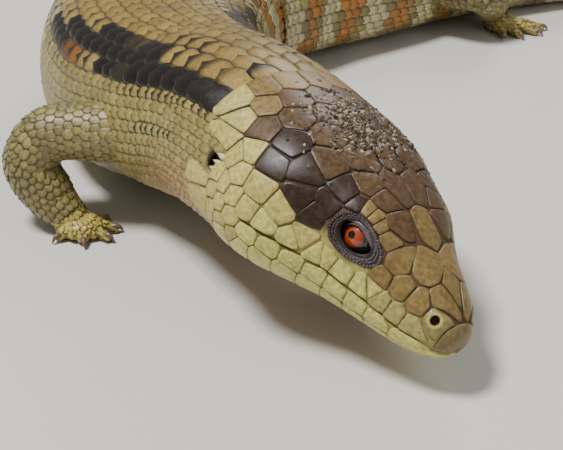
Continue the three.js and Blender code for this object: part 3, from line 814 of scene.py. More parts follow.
@dataclass
class Shingle:
    """One overlapping scale: a rounded plate that is rooted under the scale before it."""

    across: int = 7
    along: int = 6
    square: float = 2.6
    tuck: float = -0.12
    lift: float = 0.42
    dome: float = 0.16
    thick: float = 0.32

    def __post_init__(self) -> None:
        """Lay out the points and the faces of one scale."""
        a = np.linspace(-1, 1, self.across)
        b = np.linspace(0, 1, self.along) ** 0.85
        far = np.clip((b - 0.42) / 0.58, 0, 1)
        wide = np.where(b < 0.42, 0.8 + 0.2 * smoothstep(0, 0.42, b), (1 - far**self.square))
        wide = np.where(b < 0.42, wide, np.maximum(wide, 0.0) ** (1 / self.square))
        wide[-1] = 0.16
        self.a = a[None, :] * wide[:, None]
        self.b = np.broadcast_to(b[:, None], self.a.shape).copy()
        bow = 1 - a[None, :] ** 2
        self.b[-1] = 0.97 + 0.03 * bow[0]
        rise = self.tuck + (self.lift - self.tuck) * self.b**0.9
        self.high = rise + self.dome * (bow - 1) * np.minimum(1, 1.2 * self.b[:, :1] + 0.2)
        rim = np.maximum(0.8 * np.abs(a)[None, :] ** 3, far[:, None] ** 2)
        self.rim = rim * (b[:, None] > 0.2)
        n, m = self.along, self.across
        index = np.arange(n * m).reshape(n, m)
        loop = [*index[:, 0], *index[-1, 1:], *index[-2::-1, -1]]
        base = n * m
        walls = [[loop[k], loop[k + 1], base + k + 1, base + k] for k in range(len(loop) - 1)]
        self.quads = np.concatenate([grid_faces(n, m), walls])
        flat_a, flat_b, flat_high = self.a.ravel(), self.b.ravel(), self.high.ravel()
        self.all_a = np.concatenate([flat_a, flat_a[loop] * 0.94])
        self.all_b = np.concatenate([flat_b, flat_b[loop] * 0.97])
        self.all_high = np.concatenate([flat_high, flat_high[loop] - self.thick])
        self.all_rim = np.concatenate([self.rim.ravel(), np.ones(len(loop))])
        self.patch = np.stack([(self.all_b - 0.5) * PATCH, self.all_a * PATCH / 2], -1)


@dataclass(frozen=True)
class Zone:
    """A stretch of the body covered with rows of scales of one kind, on both sides alike."""

    start: float
    end: float
    top: float
    low: float
    rows: int
    pitch: float
    long: float = 1.6
    lift: float = 0.42


# The body's zones, by distance behind the snout and shares of the half girth.
ZONES = (
    Zone(68.0, 97.0, 0.0, 0.36, 4, 4.6, lift=0.62),
    Zone(96.0, 292.0, 0.0, 0.36, 6, 4.8, lift=0.6),
    Zone(61.0, 79.0, 0.36, 0.72, 12, 2.0, lift=0.4),
    Zone(77.5, 110.0, 0.36, 0.72, 9, 2.8, lift=0.46),
    Zone(46.0, 63.0, 0.61, 0.72, 3, 2.2, lift=0.4),
    Zone(108.0, 292.0, 0.36, 0.72, 9, 3.5, lift=0.52),
    Zone(50.0, 110.0, 0.7, 1.0, 7, 3.0, lift=0.42),
    Zone(24.0, 52.0, 0.74, 1.0, 6, 2.7, lift=0.36),
    Zone(108.0, 292.0, 0.72, 1.0, 5, 4.4, lift=0.36),
    Zone(290.0, 312.0, 0.0, 1.0, 15, 4.2),
    Zone(310.0, 336.0, 0.0, 1.0, 13, 4.0),
    Zone(334.0, 362.0, 0.0, 1.0, 11, 4.0),
    Zone(360.0, 390.0, 0.0, 1.0, 10, 3.8),
    Zone(388.0, 416.0, 0.0, 1.0, 9, 3.6, lift=0.36),
    Zone(414.0, 440.0, 0.0, 1.0, 8, 3.3, lift=0.32),
    Zone(438.0, 460.0, 0.0, 1.0, 7, 3.0, lift=0.28),
    Zone(458.0, 476.0, 0.0, 1.0, 6, 2.6, lift=0.24),
    Zone(474.0, 490.0, 0.0, 1.0, 5, 2.3, lift=0.2),
    Zone(488.0, 502.0, 0.0, 1.0, 4, 2.0, lift=0.15),
)


@dataclass
class BodyScales:
    """The overlapping scales of throat, neck, trunk and tail."""

    form: BodyForm
    markings: Markings
    most: int = 160_000
    ear_room: tuple[float, float] = (1.8, 2.4)

    def build(self, material: Finish, covered: BVHTree) -> list[Piece]:
        """Set every zone's scales.

        Args:
            material: the scales' finish.
            covered: the legs' skin, under which no scale is wanted.

        Returns:
            The pieces; each is closed once it passes `most` triangles.
        """
        pieces: list[Piece] = []
        plates = Plates()
        chance = np.random.default_rng(SEED)
        for zone in ZONES:
            self._zone(zone, plates, chance, covered)
            if plates.triangles() > self.most:
                pieces.append(plates.build(f"body_scales_{len(pieces) + 1}", material))
                plates = Plates()
        if plates.count:
            pieces.append(plates.build(f"body_scales_{len(pieces) + 1}", material))
        return pieces

    def _zone(self, zone: Zone, plates: Plates, chance: np.random.Generator, covered: BVHTree) -> None:
        """Set one zone's scales on both sides."""
        scale = Shingle(lift=zone.lift, dome=zone.lift * 0.4, thick=zone.lift + 0.1)
        step = zone.pitch
        firsts = np.arange(zone.start, zone.end, step)
        width = (zone.low - zone.top) / zone.rows
        u0, v0 = [], []
        for row in range(zone.rows):
            middle = zone.top + width * (row + 0.5)
            for side in (1, -1):
                odd = (row + (0 if side > 0 else 1)) % 2
                u0.append(firsts + step * 0.5 * odd)
                v0.append(np.full(len(firsts), side * middle))
        u, v = np.concatenate(u0), np.concatenate(v0)
        u = u + chance.normal(0, 0.05 * step, len(u))
        v = v + chance.normal(0, 0.03 * width, len(v))
        keep = self._clear(u, v, step, covered) & self._off_ear(u, v)
        u, v = u[keep], v[keep]
        if not len(u):
            return
        grow = chance.uniform(0.94, 1.06, len(u))[:, None]
        along = u[:, None] + (scale.all_b[None] - 0.25) * step * zone.long * grow
        half = width * 0.6 * grow
        side_step = scale.all_a[None] * half
        stand = scale.all_high[None] * (1 + chance.normal(0, 0.03, len(u))[:, None] * 3)
        points = self.form.skin(along, v[:, None] + side_step, stand)
        luck = chance.uniform(0, 1, len(u))
        colour = self.markings.body(u + step * 0.5, v, luck)
        colour = colour * (1 + 0.34 * (chance.uniform(0, 1, len(u))[:, None] - 0.5))
        edged = self.markings.edged(u + step * 0.5, v, luck)[:, None] * (scale.all_rim > 0.28)
        colour = mixed(np.repeat(colour[:, None], len(scale.all_rim), axis=1), tone(Tone.BLACK), edged)
        flat = body_map(self.form, u, v)[:, None]
        plates.add(points, scale.quads, NO_TRIS, colour, scale.all_rim, flat + scale.patch)

    def _clear(self, u: NDArray, v: NDArray, step: float, covered: BVHTree) -> NDArray:
        """Tell which scales lie clear of the legs' roots."""
        places = self.form.skin(u + step * 0.6, v, 0.5) * MM
        keep = np.ones(len(u), dtype=bool)
        for k, place in enumerate(places):
            hit, normal, _, far = covered.find_nearest(Vector(place))
            if hit is not None and far < 0.02 and (Vector(place) - hit).dot(normal) < -0.0012:
                keep[k] = False
        return keep

    def _off_ear(self, u: NDArray, v: NDArray) -> NDArray:
        """Keep the neck's rows off the ears."""
        x, q = self.form.head_length - u, np.abs(v) * self.form.girth(u)
        long, high = self.ear_room
        return ((x - EAR[0]) / long) ** 2 + ((q - EAR[1]) / high) ** 2 >= 1


@dataclass(frozen=True)
class Shield:
    """One head shield: forward of the ears, round from the midline, and its tone."""

    x: float
    q: float
    tone: Tone
    hole: float = 0.0


# The head's shields, from the snout back; one off the midline has a twin on the other side.
SHIELDS = (
    Shield(50.0, 0.0, Tone.SNOUT),
    Shield(36.2, 0.0, Tone.SNOUT),
    Shield(19.0, 0.0, Tone.CROWN),
    Shield(*NOSTRIL, Tone.NASAL, hole=1.0),
    Shield(51.8, 4.4, Tone.SNOUT),
    Shield(45.4, 5.3, Tone.SNOUT),
    Shield(49.6, 10.2, Tone.SNOUT),
    Shield(45.0, 12.6, Tone.SNOUT),
    Shield(41.2, 11.2, Tone.SNOUT),
    Shield(34.8, 8.8, Tone.CROWN),
    Shield(29.4, 9.2, Tone.CROWN),
    Shield(25.2, 10.6, Tone.CROWN),
    Shield(26.6, 3.0, Tone.CROWN),
    Shield(18.2, 8.2, Tone.CROWN),
    Shield(11.6, 4.2, Tone.CROWN),
    Shield(10.6, 12.2, Tone.CROWN),
    Shield(4.8, 7.8, Tone.CROWN),
    Shield(4.4, 0.0, Tone.CROWN),
    Shield(16.8, 16.4, Tone.CROWN),
    Shield(41.0, 16.2, Tone.SNOUT),
    Shield(24.2, 16.2, Tone.TEMPLE),
    Shield(16.0, 21.8, Tone.TEMPLE),
    Shield(19.2, 25.9, Tone.TEMPLE),
    Shield(8.6, 21.4, Tone.TEMPLE),
    Shield(10.0, 27.0, Tone.TEMPLE),
    Shield(3.0, 15.6, Tone.CROWN),
    Shield(1.2, 23.4, Tone.CROWN),
    Shield(3.6, 28.6, Tone.CHEEK),
    Shield(24.6, 29.6, Tone.CHEEK),
    Shield(18.2, 31.2, Tone.CHEEK),
    Shield(11.8, 32.6, Tone.CHEEK),
    Shield(5.4, 34.4, Tone.CHEEK),
    Shield(1.6, 31.8, Tone.CHEEK),
    Shield(-3.6, 29.8, Tone.CHEEK),
    Shield(-1.8, 4.2, Tone.CROWN),
    Shield(-2.4, 11.8, Tone.CROWN),
    Shield(-4.2, 18.4, Tone.SNOUT),
    Shield(-7.4, 0.0, Tone.SNOUT),
    Shield(-7.8, 7.6, Tone.SNOUT),
    Shield(-8.2, 14.6, Tone.SNOUT),
    Shield(-4.6, 24.4, Tone.CHEEK),
    Shield(-8.8, 20.8, Tone.CHEEK),
)
# How far forward of the ears the middles of the lips' shields are.
UPPER_LIPS = (51.3, 47.6, 43.8, 39.4, 34.2, 28.6, 22.8, 17.2)
LOWER_LIPS = (51.5, 45.0, 40.0, 35.0, 30.0, 25.0, 20.0, 15.0)


@dataclass
class Sites:
    """The middles of the head's shields, with the skin's directions and stretch at each."""

    form: BodyForm
    x: NDArray
    q: NDArray
    step: float = 0.4
    share_step: float = 0.005

    def __post_init__(self) -> None:
        """Measure the skin at every middle, by a step along and a step of the girth's share round."""
        form, step, share = self.form, self.step, self.share_step
        self.u = form.head_length - self.x
        self.girth = form.girth(self.u)
        self.v = self.q / self.girth
        self.middle = form.skin(self.u, self.v)
        along = form.skin(self.u - step, self.v) - form.skin(self.u + step, self.v)
        around = form.skin(self.u, self.v + share) - form.skin(self.u, self.v - share)
        self.ahead, self.side = unit(along), unit(around)
        self.stretch = np.linalg.norm(along, axis=1) / (2 * step)
        self.swell = np.linalg.norm(around, axis=1) / (2 * share * self.girth)


@dataclass
class HeadShields:
    """The large plates of the head, each bounded halfway to its neighbours."""

    form: BodyForm
    sides: int = 36
    rounding: float = 26.0
    suture: float = 0.1
    longest: float = 6.5
    high: float = 0.42
    opening: tuple[float, float] = (4.5, 3.15)
    bulge: float = 5.8
    rear: float = 0.7
    eye_ring: tuple[float, float] = (8.5, 6.3)
    eye_gap: tuple[float, float] = (5.6, 3.7)
    ring_count: int = 17
    cap_long: tuple[float, float] = (2.2, 3.0)
    neighbour: float = 15.0
    lip_gap: float = 0.25
    snout_end: float = 56.7
    neck_end: float = -11.0
    insets: tuple[float, ...] = (0.0, 0.03, 0.15, 0.5)
    nostril: tuple[tuple[float, float], ...] = (
        (1.9, 0.52), (1.4, 0.6), (1.12, 0.6), (0.95, 0.2), (0.85, -0.7)
    )

    def seeds(self) -> tuple[NDArray, NDArray, list[Tone | None]]:
        """List every plate's middle, forward of the ears and signed round from the midline.

        Returns:
            The places forward, the places round, and the tones, with none for what bounds a gap.
        """
        rows: list[tuple[float, float, Tone | None]] = []
        for shield in SHIELDS:
            rows.append((shield.x, shield.q, shield.tone))
        for x in UPPER_LIPS:
            tone_here = Tone.LIP if x < 42 else Tone.FRONT_LIP
            rows.append((x, self.lip(x) - 2.3 + 0.25 * max(0.0, (40 - x) / 20), tone_here))
        for x in LOWER_LIPS:
            rows.append((x, self.lip(x) + 2.2, Tone.LIP))
        for x in np.arange(50.0, 8.0, -5.2):
            rows.append((x, self.lip(x) + 6.6, Tone.LIP))
        for x in np.arange(12.4, -2.0, -4.2):
            rows.append((x, self.lip(x) - 2.6, Tone.CHEEK))
        for x in np.arange(10.0, -5.0, -4.4):
            rows.append((x, self.lip(x) + 1.0, Tone.CHEEK))
            rows.append((x + 2.0, self.lip(x) + 5.2, Tone.CHEEK))
        named = len(rows)
        around = 2 * np.pi * (np.arange(self.ring_count) + 0.5) / self.ring_count
        for turn, x, q in zip(around, *self.round_eye(around, *self.eye_ring)):
            shade = Tone.CHEEK if math.sin(turn) < -0.25 and math.cos(turn) > -0.6 else Tone.SNOUT
            if min(math.hypot(x - row[0], q - row[1]) for row in rows[:named]) > 2.5:
                rows.append((float(x), float(q), Tone.TEMPLE if math.cos(turn) < -0.45 else shade))
        for x, q in zip(*self.round_eye(turns(12), *self.eye_gap)):
            rows.append((float(x), float(q), None))
        for rise in (-1.8, 1.8):
            rows.append((-3.6, EAR[1] + rise, None))
        x = np.array([row[0] for row in rows])
        q = np.array([row[1] for row in rows])
        tones = [row[2] for row in rows]
        pair = q > 0.01
        x = np.concatenate([x, x[pair]])
        q = np.concatenate([q, -q[pair]])
        tones = tones + [t for t, p in zip(tones, pair) if p]
        return x, q, tones

    def eye(self, side: int) -> tuple[NDArray, NDArray, NDArray, NDArray]:
        """Place an eye.

        Args:
            side: 1 for the left, -1 for the right.

        Returns:
            Its centre, and the directions it looks, lies along and stands up in.
        """
        x, y, z = self.form.eye
        centre = self.form.in_head(np.array(x), np.array(side * y), np.array(z))
        _, forward, left, up = self.form.frame(np.array(0.0))
        gaze = unit(left * side * 0.94 + forward * 0.24 + up * 0.22)
        along = unit(forward - 0.12 * up)
        along = unit(along - gaze * float(along @ gaze))
        return centre, gaze, along, np.cross(gaze, along) * side * -1.0

    def almond(self, turn: NDArray) -> NDArray:
        """Outline the gap between the lids, along and up from its middle, by angle."""
        a, b = self.opening
        high = np.sin(turn)
        return np.stack([a * np.cos(turn), b * np.sign(high) * np.abs(high) ** 1.15], -1)

    def round_eye(self, turn: NDArray, long: float, high: float) -> tuple[NDArray, NDArray]:
        """Find the skin's places on an oval round the left eye, measured over its bulge.

        Args:
            turn: the angles round the eye.
            long: half the oval's length, along the head.
            high: half its height.

        Returns:
            The places forward of the ears and round from the midline.
        """
        form = self.form
        centre, gaze, along, up = self.eye(1)
        ahead = np.cos(turn)
        ahead = np.where(ahead < 0, ahead * self.rear, ahead)
        flat = np.stack([long * ahead, high * np.sin(turn)], -1)
        arc = np.linalg.norm(flat, axis=1, keepdims=True)
        bend = arc / self.bulge
        way = (flat[:, :1] * along + flat[:, 1:] * up) / arc * np.sin(bend) + gaze * np.cos(bend)
        us, vs = np.meshgrid(np.linspace(14, 42, 225), np.linspace(0.08, 0.72, 225), indexing="ij")
        seen = unit(form.skin(us, vs) - centre).reshape(-1, 3)
        best = (way @ seen.T).argmax(1)
        u, v = us.ravel()[best], vs.ravel()[best]
        return form.head_length - u, v * form.girth(u)

    def lip(self, x: float) -> float:
        """Measure from the midline round to the mouth's line."""
        u = self.form.head_length - x
        share = np.linspace(0, 1, 241)
        ring = self.form.skin(np.full_like(share, u), share)
        centre, _, _, up = self.form.frame(np.array(u))
        level = (ring - centre) @ up
        want = 0.4 + 1.9 * float(smoothstep(7.0, 34.0, np.array(x)))
        return float(np.interp(-want, -level, share) * self.form.girth(np.array(u)))

    def build(self, material: Finish) -> Piece:
        """Make all the shields as one piece."""
        x, q, tones = self.seeds()
        sites = Sites(self.form, x, q)
        holes = {shield.x: shield.hole for shield in SHIELDS if shield.hole}
        plates = Plates()
        chance = np.random.default_rng(SEED + 1)
        for k, shade in enumerate(tones):
            if shade is not None:
                self._plate(plates, sites, k, shade, holes.get(float(x[k]), 0.0), chance)
        self._cap(plates, Tone.ROSTRAL, True)
        self._cap(plates, Tone.LIP, False)
        return plates.build("head_shields", material)

    def _walls(self, sites: Sites, k: int) -> tuple[NDArray, NDArray]:
        """Find the directions and distances of what bounds a shield.

        Args:
            sites: the middles of all the shields.
            k: which shield.

        Returns:
            The directions and the distances of its neighbours, the mouth, the snout's tip and the neck.
        """
        gap = sites.middle - sites.middle[k]
        near = np.linalg.norm(gap, axis=1)
        near[k] = math.inf
        others = near < self.neighbour
        ways = list(np.arctan2(gap[others] @ sites.side[k], gap[others] @ sites.ahead[k]))
        fars = list(near[others] / 2 - self.suture / 2)
        x, q, stretch = sites.x[k], sites.q[k], sites.stretch[k]
        mouth = self.lip(float(x)) - abs(q)
        if x > 11 and abs(mouth) < 9:
            ways.append(math.copysign(math.pi / 2, q) * (1 if mouth > 0 else -1))
            fars.append(abs(mouth) - self.lip_gap)
        ways.append(0.0)
        fars.append(max((self.snout_end - x) * stretch, 0.5))
        if x < 12:
            ways.append(math.pi)
            fars.append((x - self.neck_end) * stretch)
        return np.array(ways), np.array(fars)

    def _plate(
        self, plates: Plates, sites: Sites, k: int, shade: Tone, hole: float, chance: np.random.Generator
    ) -> None:
        """Add one shield, as rings from its sunk edge to its middle or round its nostril.

        Args:
            plates: what it is added to.
            sites: the middles of all the shields.
            k: which shield.
            shade: its tone.
            hole: the radius of its nostril, or 0.
            chance: what roughens and shades it.
        """
        n = self.sides
        turn = turns(n)
        way, far = self._walls(sites, k)
        facing = np.maximum(np.cos(turn[:, None] - way[None]), 0)
        rings = []
        for inset, lift in zip(self.insets, (-0.3, self.high * 0.62, self.high * 0.93, self.high)):
            wall = np.maximum(far - inset, 0.12)
            reach = ((facing / wall) ** self.rounding).sum(1) ** (-1 / self.rounding)
            rings.append((np.minimum(reach, self.longest - inset), lift))
        if hole:
            rings.extend((np.full(n, hole * wide), lift) for wide, lift in self.nostril)
        else:
            rings.append((rings[-1][0] * 0.55, self.high * 1.08))
        reach = np.stack([ring[0] for ring in rings])
        u, v, girth = sites.u[k], sites.v[k], sites.girth[k]
        uu = np.append((u + -reach * np.cos(turn) / sites.stretch[k]).ravel(), u).clip(0.3, None)
        vv = np.append((v + reach * np.sin(turn) / sites.swell[k] / girth).ravel(), v)
        high = np.append(np.repeat([ring[1] for ring in rings], n), -0.9 if hole else self.high * 1.1)
        scab = self._scab(self.form.head_length - uu, vv * girth)
        high = high + scab * chance.uniform(-0.22, 0.3, len(high)) * (high > 0)
        rim = np.append(np.repeat((1.0, 1.0, 0.5, 0.1) + (0.0,) * (len(rings) - 4), n), 0.0)
        colour = np.tile(tone(shade) * (1 + 0.2 * (chance.uniform() - 0.5)), (len(high), 1))
        if hole:
            colour[5 * n : 7 * n] = tone(Tone.LIP) * 0.8
            # Deep in the nostril: flesh red, darkened further as painted shade in the hole.
            colour[7 * n :] = tone(Tone.SHADED_FLESH) * 0.4
        quads, tris = ring_faces(len(rings), n)
        flat = body_map(self.form, sites.u[k : k + 1], sites.v[k : k + 1])
        ways = np.stack([np.cos(turn), np.sin(turn)], -1)
        spread = [ways * share for share in np.linspace(0.5, 0.1, len(rings))]
        bake = flat[:, None] + np.concatenate([*spread, np.zeros((1, 2))])[None] * PATCH
        plates.add(self.form.skin(uu, vv, high)[None], quads, tris, colour[None], rim, bake)

    def _cap(self, plates: Plates, shade: Tone, upper: bool) -> None:
        """Wrap one shield round the snout's tip, above the mouth or below it.

        Args:
            plates: what it is added to.
            shade: its tone.
            upper: whether it lies above the mouth.
        """
        share = np.array([0, 0.015, 0.06, 0.14, 0.26, 0.4, 0.55, 0.7, 0.82, 0.91, 0.96, 0.99, 1.0])
        back = self.cap_long[0 if upper else 1]
        across = np.linspace(-1, 1, 41)
        u = 0.25 + (back - 0.25) * share
        lip = np.array([self.lip(self.form.head_length - k) for k in u]) / self.form.girth(u)
        gap = 0.32 / self.form.girth(u)
        reach = np.maximum(lip - gap if upper else 1 - lip - gap, 0.02)
        uu = u[:, None] * np.ones(len(across))
        vv = across[None] * reach[:, None]
        if not upper:
            vv = 1 - vv
        near = (1 - np.abs(across)[None]) * reach[:, None] * self.form.girth(u)[:, None]
        rear = (1 - share[:, None]) * (back - 0.25)
        wall = np.minimum(near, rear)
        lift = -0.3 + (self.high + 0.3) * np.clip(wall / 0.35, 0, 1) ** 0.5
        points = self.form.skin(np.clip(uu, 0.2, None), vv, lift)
        rows, columns = points.shape[:2]
        rim = np.append(np.clip(1 - wall / 0.4, 0, 1).ravel(), 0.0)
        count = rows * columns
        flat = body_map(self.form, np.full(count + 1, 3.0), np.zeros(count + 1))
        flat[:-1] += np.stack([uu.ravel() / 900, vv.ravel() * 0.002], -1)
        tip = (points[0, 0] + points[0, -1]) / 2 * 0.55 + points[0, columns // 2] * 0.45
        tip = tip + 0.3 * self.form.frame(np.array(0.0))[1]
        first = np.arange(columns - 1)
        fan = np.stack([first + 1, first, np.full(columns - 1, count)], -1)
        plates.add(
            np.concatenate([points.reshape(-1, 3), tip[None]])[None],
            grid_faces(rows, columns),
            fan,
            tone(shade)[None],
            rim,
            flat[None],
        )

    def _scab(self, x: NDArray, q: NDArray) -> NDArray:
        """Tell how rough the healed, flaking part of the crown is at a place."""
        return np.exp(-(((x - 14) / 13) ** 4) - (q / 13) ** 4)


@dataclass
class Hide:
    """The one skin of head, trunk, tail and legs, with its eye sockets, nostrils, ears and mouth."""

    form: BodyForm
    markings: Markings
    shields: HeadShields
    voxel: float = 0.6
    socket: float = 4.3
    gap_reach: float = 9.0
    mouth_radius: float = 0.42
    mouth_corner: float = 11.5
    nostril_size: tuple[float, float, float] = (1.15, 0.85, 1.0)
    ear_size: tuple[float, float, float] = (1.15, 2.8, 2.3)

    def build(self, material: Finish) -> tuple[Piece, list[BVHTree]]:
        """Make the skin.

        Args:
            material: its finish.

        Returns:
            The skin and trees of each leg's surface, then of all legs together and of the trunk.
        """
        skin = self._body(material)
        trunk = joined_tree([surface_of(skin)])
        surfaces = []
        for limb in LIMBS:
            leg = self._limb(limb, material)
            surfaces.append(surface_of(leg))
            cut(skin, leg, "UNION")
        for side in (1, -1):
            for tool in self._eye_tools(side, material):
                cut(skin, tool, "DIFFERENCE")
            place, away = self.nostril(side)
            nostril = self._ball(place - away * 0.1, self.nostril_size, away, material)
            cut(skin, nostril, "DIFFERENCE")
            place, away = self.ear(side)
            ear = self._ball(place, self.ear_size, away, material)
            cut(skin, ear, "DIFFERENCE")
        cut(skin, self._mouth(material), "DIFFERENCE")
        self._paint(skin)
        trees = [joined_tree([surface]) for surface in surfaces]
        return skin, [*trees, joined_tree(surfaces), trunk]

    def _body(self, material: Finish) -> Piece:
        """Make the shell of head, trunk and tail."""
        form = self.form
        u = np.concatenate([[0.05, 0.25], np.arange(0.5, 70, 0.5), np.arange(70, form.length, 2.2)])
        sides = form.sides
        v = -1 + 2 * np.arange(sides) / sides
        ring = form.skin(u[:, None], v[None, :])
        ends = form.skin(np.array([0.02, form.length]), np.array([0.5, 0.5]))
        ends = np.stack([ring[0].mean(0), ring[-1].mean(0) * 0.5 + ends[1] * 0.5])
        points = np.concatenate([ring.reshape(-1, 3), ends])
        index = np.arange(len(u) * sides).reshape(len(u), sides)
        after = np.roll(index, -1, axis=1)
        quads = np.stack([index[:-1], index[1:], after[1:], after[:-1]], -1).reshape(-1, 4)
        first = np.stack([np.full(sides, len(points) - 2), index[0], after[0]], -1)
        last = np.stack([np.full(sides, len(points) - 1), after[-1], index[-1]], -1)
        shell = make_mesh("skin", points, quads, np.concatenate([first, last]), material)
        face_out(shell)
        return shell

    def _limb(self, limb: Limb, material: Finish) -> Piece:
        """Make one leg's shell: its tubes and sole fused to one smooth surface."""
        points: list[NDArray] = []
        quads: list[NDArray] = []
        tris: list[NDArray] = []
        count = 0
        for tube in limb.tubes():
            at = np.linspace(0, tube[0][-1], 40)
            some, faces, ends = tube_mesh(tube, at, 24, -self.form.depth)
            points.append(some)
            quads.append(faces + count)
            tris.append(ends + count)
            count += len(some)
        long, wide, _, high = limb.sole
        frame = (limb.ahead, np.array([-limb.ahead[1], limb.ahead[0], 0.0]), np.array([0, 0, 1.0]))
        some, faces, ends = ellipsoid_mesh(limb.middle, frame, (long, wide, high), 24, 14)
        some[:, 2] = np.maximum(some[:, 2], 0.3)
        points.append(some)
        quads.append(faces + count)
        tris.append(ends + count)
        leg = make_mesh(
            f"{limb.name}_form", *(np.concatenate(part) for part in (points, quads, tris)), material
        )
        remesh = leg.modifiers.new("fuse", "REMESH")
        remesh.mode = "VOXEL"
        remesh.voxel_size = self.voxel * MM
        smooth = leg.modifiers.new("smooth", "SMOOTH")
        smooth.iterations = 5
        smooth.factor = 0.6
        bake_modifiers(leg)
        return leg

    def _eye_tools(self, side: int, material: Finish) -> list[Piece]:
        """Make what cuts an eye's socket, and the almond gap between its lids."""
        centre, gaze, along, up = self.shields.eye(side)
        radius = self.socket
        frame = (gaze, along, np.cross(gaze, along))
        points, quads, tris = ellipsoid_mesh(centre, frame, (radius,) * 3, 40, 24)
        ball = make_mesh("socket", points, quads, tris, material)
        outline = self.shields.almond(turns(48))
        flat = outline[:, :1] * along + outline[:, 1:] * up
        ahead = centre + gaze * self.gap_reach
        near, far = centre + flat * 0.9, ahead + flat * 1.12
        n = len(outline)
        ring = np.arange(n)
        after = (ring + 1) % n
        sides = np.stack([ring, after, n + after, n + ring], -1)
        base = np.stack([np.full(n, 2 * n), after, ring], -1)
        lid = np.stack([np.full(n, 2 * n + 1), n + ring, n + after], -1)
        points = np.concatenate([near, far, centre[None], ahead[None]])
        prism = make_mesh("gap", points, sides, np.concatenate([base, lid]), material)
        for tool in (ball, prism):
            face_out(tool)
        return [ball, prism]

    def nostril(self, side: int) -> tuple[NDArray, NDArray]:
        """Place a nostril and the way it faces."""
        return self._spot(*NOSTRIL, side)

    def ear(self, side: int) -> tuple[NDArray, NDArray]:
        """Place an ear and the way it faces."""
        return self._spot(*EAR, side)

    def _spot(self, x: float, q: float, side: int) -> tuple[NDArray, NDArray]:
        """Find a place of the skin and its outward direction."""
        u, v = self.form.on_head(np.array([x]), side * q)
        low, high = self.form.skin(u, v, 0.01)[0], self.form.skin(u, v, 1.01)[0]
        return low, unit(high - low)

    def _ball(
        self, place: NDArray, size: tuple[float, float, float], away: NDArray, material: Finish
    ) -> Piece:
        """Make an egg that cuts a hole: its size along the head, round it and into it."""
        _, forward, _, _ = self.form.frame(np.array(0.0))
        along = unit(forward - away * float(forward @ away))
        frame = (along, np.cross(away, along), away)
        points, quads, tris = ellipsoid_mesh(place, frame, size, 24, 14)
        ball = make_mesh("hole", points, quads, tris, material)
        face_out(ball)
        return ball

    def _mouth(self, material: Finish) -> Piece:
        """Make the tube that cuts the mouth's line, from one corner round the snout to the other."""
        x = np.concatenate([np.linspace(self.mouth_corner, 56, 60), [56.8, 57.6, 58.2, 58.55]])
        u = self.form.head_length - x
        v = np.array([self.shields.lip(float(k)) for k in x]) / self.form.girth(u)
        left = self.form.skin(u, v)
        right = self.form.skin(u, -v)[::-1]
        line = np.concatenate([left, right])
        run = unit(np.gradient(line, axis=0))
        up = self.form.frame(np.array(0.0))[3]
        a = unit(np.cross(run, up))
        b = np.cross(run, a)
        turn = turns(10)
        taper = np.minimum(1, np.minimum(np.arange(len(line)) + 1, len(line) - np.arange(len(line))) / 5)
        front = smoothstep(53, 57, np.concatenate([x, x[::-1]]))
        radius = (self.mouth_radius * taper * (1 - 0.6 * front))[:, None, None]
        ring = line[:, None] + radius * (
            1.5 * a[:, None] * np.cos(turn)[None, :, None] + b[:, None] * np.sin(turn)[None, :, None]
        )
        points, quads, tris = close_rings(ring)
        tube = make_mesh("mouth", points, quads, tris, material)
        face_out(tube)
        return tube

    def _samples(self) -> tuple[NDArray, NDArray, NDArray, NDArray]:
        """List places all over body and legs.

        Returns:
            The places, which leg each is on or -1, and its distance along and place round.
        """
        form = self.form
        us = np.concatenate([np.arange(0.5, 70, 1.0), np.arange(70, form.length, 2.5)])
        vs = np.linspace(-1, 1, 121)[:-1]
        u, v = (g.ravel() for g in np.meshgrid(us, vs, indexing="ij"))
        rows = [(form.skin(u, v), np.full(len(u), -1), u, v)]
        for k, limb in enumerate(LIMBS):
            for n, tube in enumerate(limb.tubes()):
                at = np.arange(0, tube[0][-1], 1.2)
                turn = np.linspace(0, 2 * np.pi, 17)[:-1]
                a, t = (g.ravel() for g in np.meshgrid(at, turn, indexing="ij"))
                spots = tube_points(tube, a, t, -form.depth)[0]
                rows.append((spots, np.full(len(a), k), a + (0 if n == 0 else limb.length + 2), t))
        places, kind, one, two = (np.concatenate(part) for part in zip(*rows))
        return places, kind, one, two

    def _paint(self, skin: Piece) -> None:
        """Colour the skin and lay it on the bake map, by the nearest place of body or leg."""
        form = self.form
        places, kind, one, two = self._samples()
        tree = point_tree(places)
        raw = np.zeros(len(skin.data.vertices) * 3)
        skin.data.vertices.foreach_get("co", raw)
        raw = raw.reshape(-1, 3) / MM
        near = np.array([tree.find(place)[1] for place in raw])
        kind, one, two = kind[near], one[near], two[near]
        body = kind < 0
        half = np.full(len(raw), 0.5)
        colour = self.markings.body(one, two, half)
        x, q = form.head_length - one, two * form.girth(one)
        head = self.markings.head(x, q)
        colour = mixed(colour, head, np.where(body, 1 - smoothstep(60, 66, one), 0))
        for k, limb in enumerate(LIMBS):
            mine = kind == k
            if mine.any():
                colour[mine] = limb_colour(limb, one[mine], raw[mine], half[mine])
        for side in (1, -1):
            far = np.linalg.norm(raw - self.shields.eye(side)[0], axis=1)
            colour = mixed(tone(Tone.EYE_RIM)[None], colour, smoothstep(5.9, 7.3, far))
            # Round nostrils and ears the skin is flesh red, darkened as painted shade inside the holes.
            for place, reach in ((self.nostril(side)[0], 1.25), (self.ear(side)[0], 2.6)):
                far = np.linalg.norm(raw - place, axis=1)
                colour = mixed(tone(Tone.SHADED_FLESH)[None] * 0.5, colour, smoothstep(reach - 0.3, reach, far))
        gap = np.where(body & (one < 34), 0.8, 0.42)
        set_colour(skin, colour * gap[:, None])
        flat = body_map(form, one, two)
        for k in range(len(LIMBS)):
            mine = kind == k
            flat[mine] = limb_map(k, one[mine], two[mine])
        set_map(skin, flat)


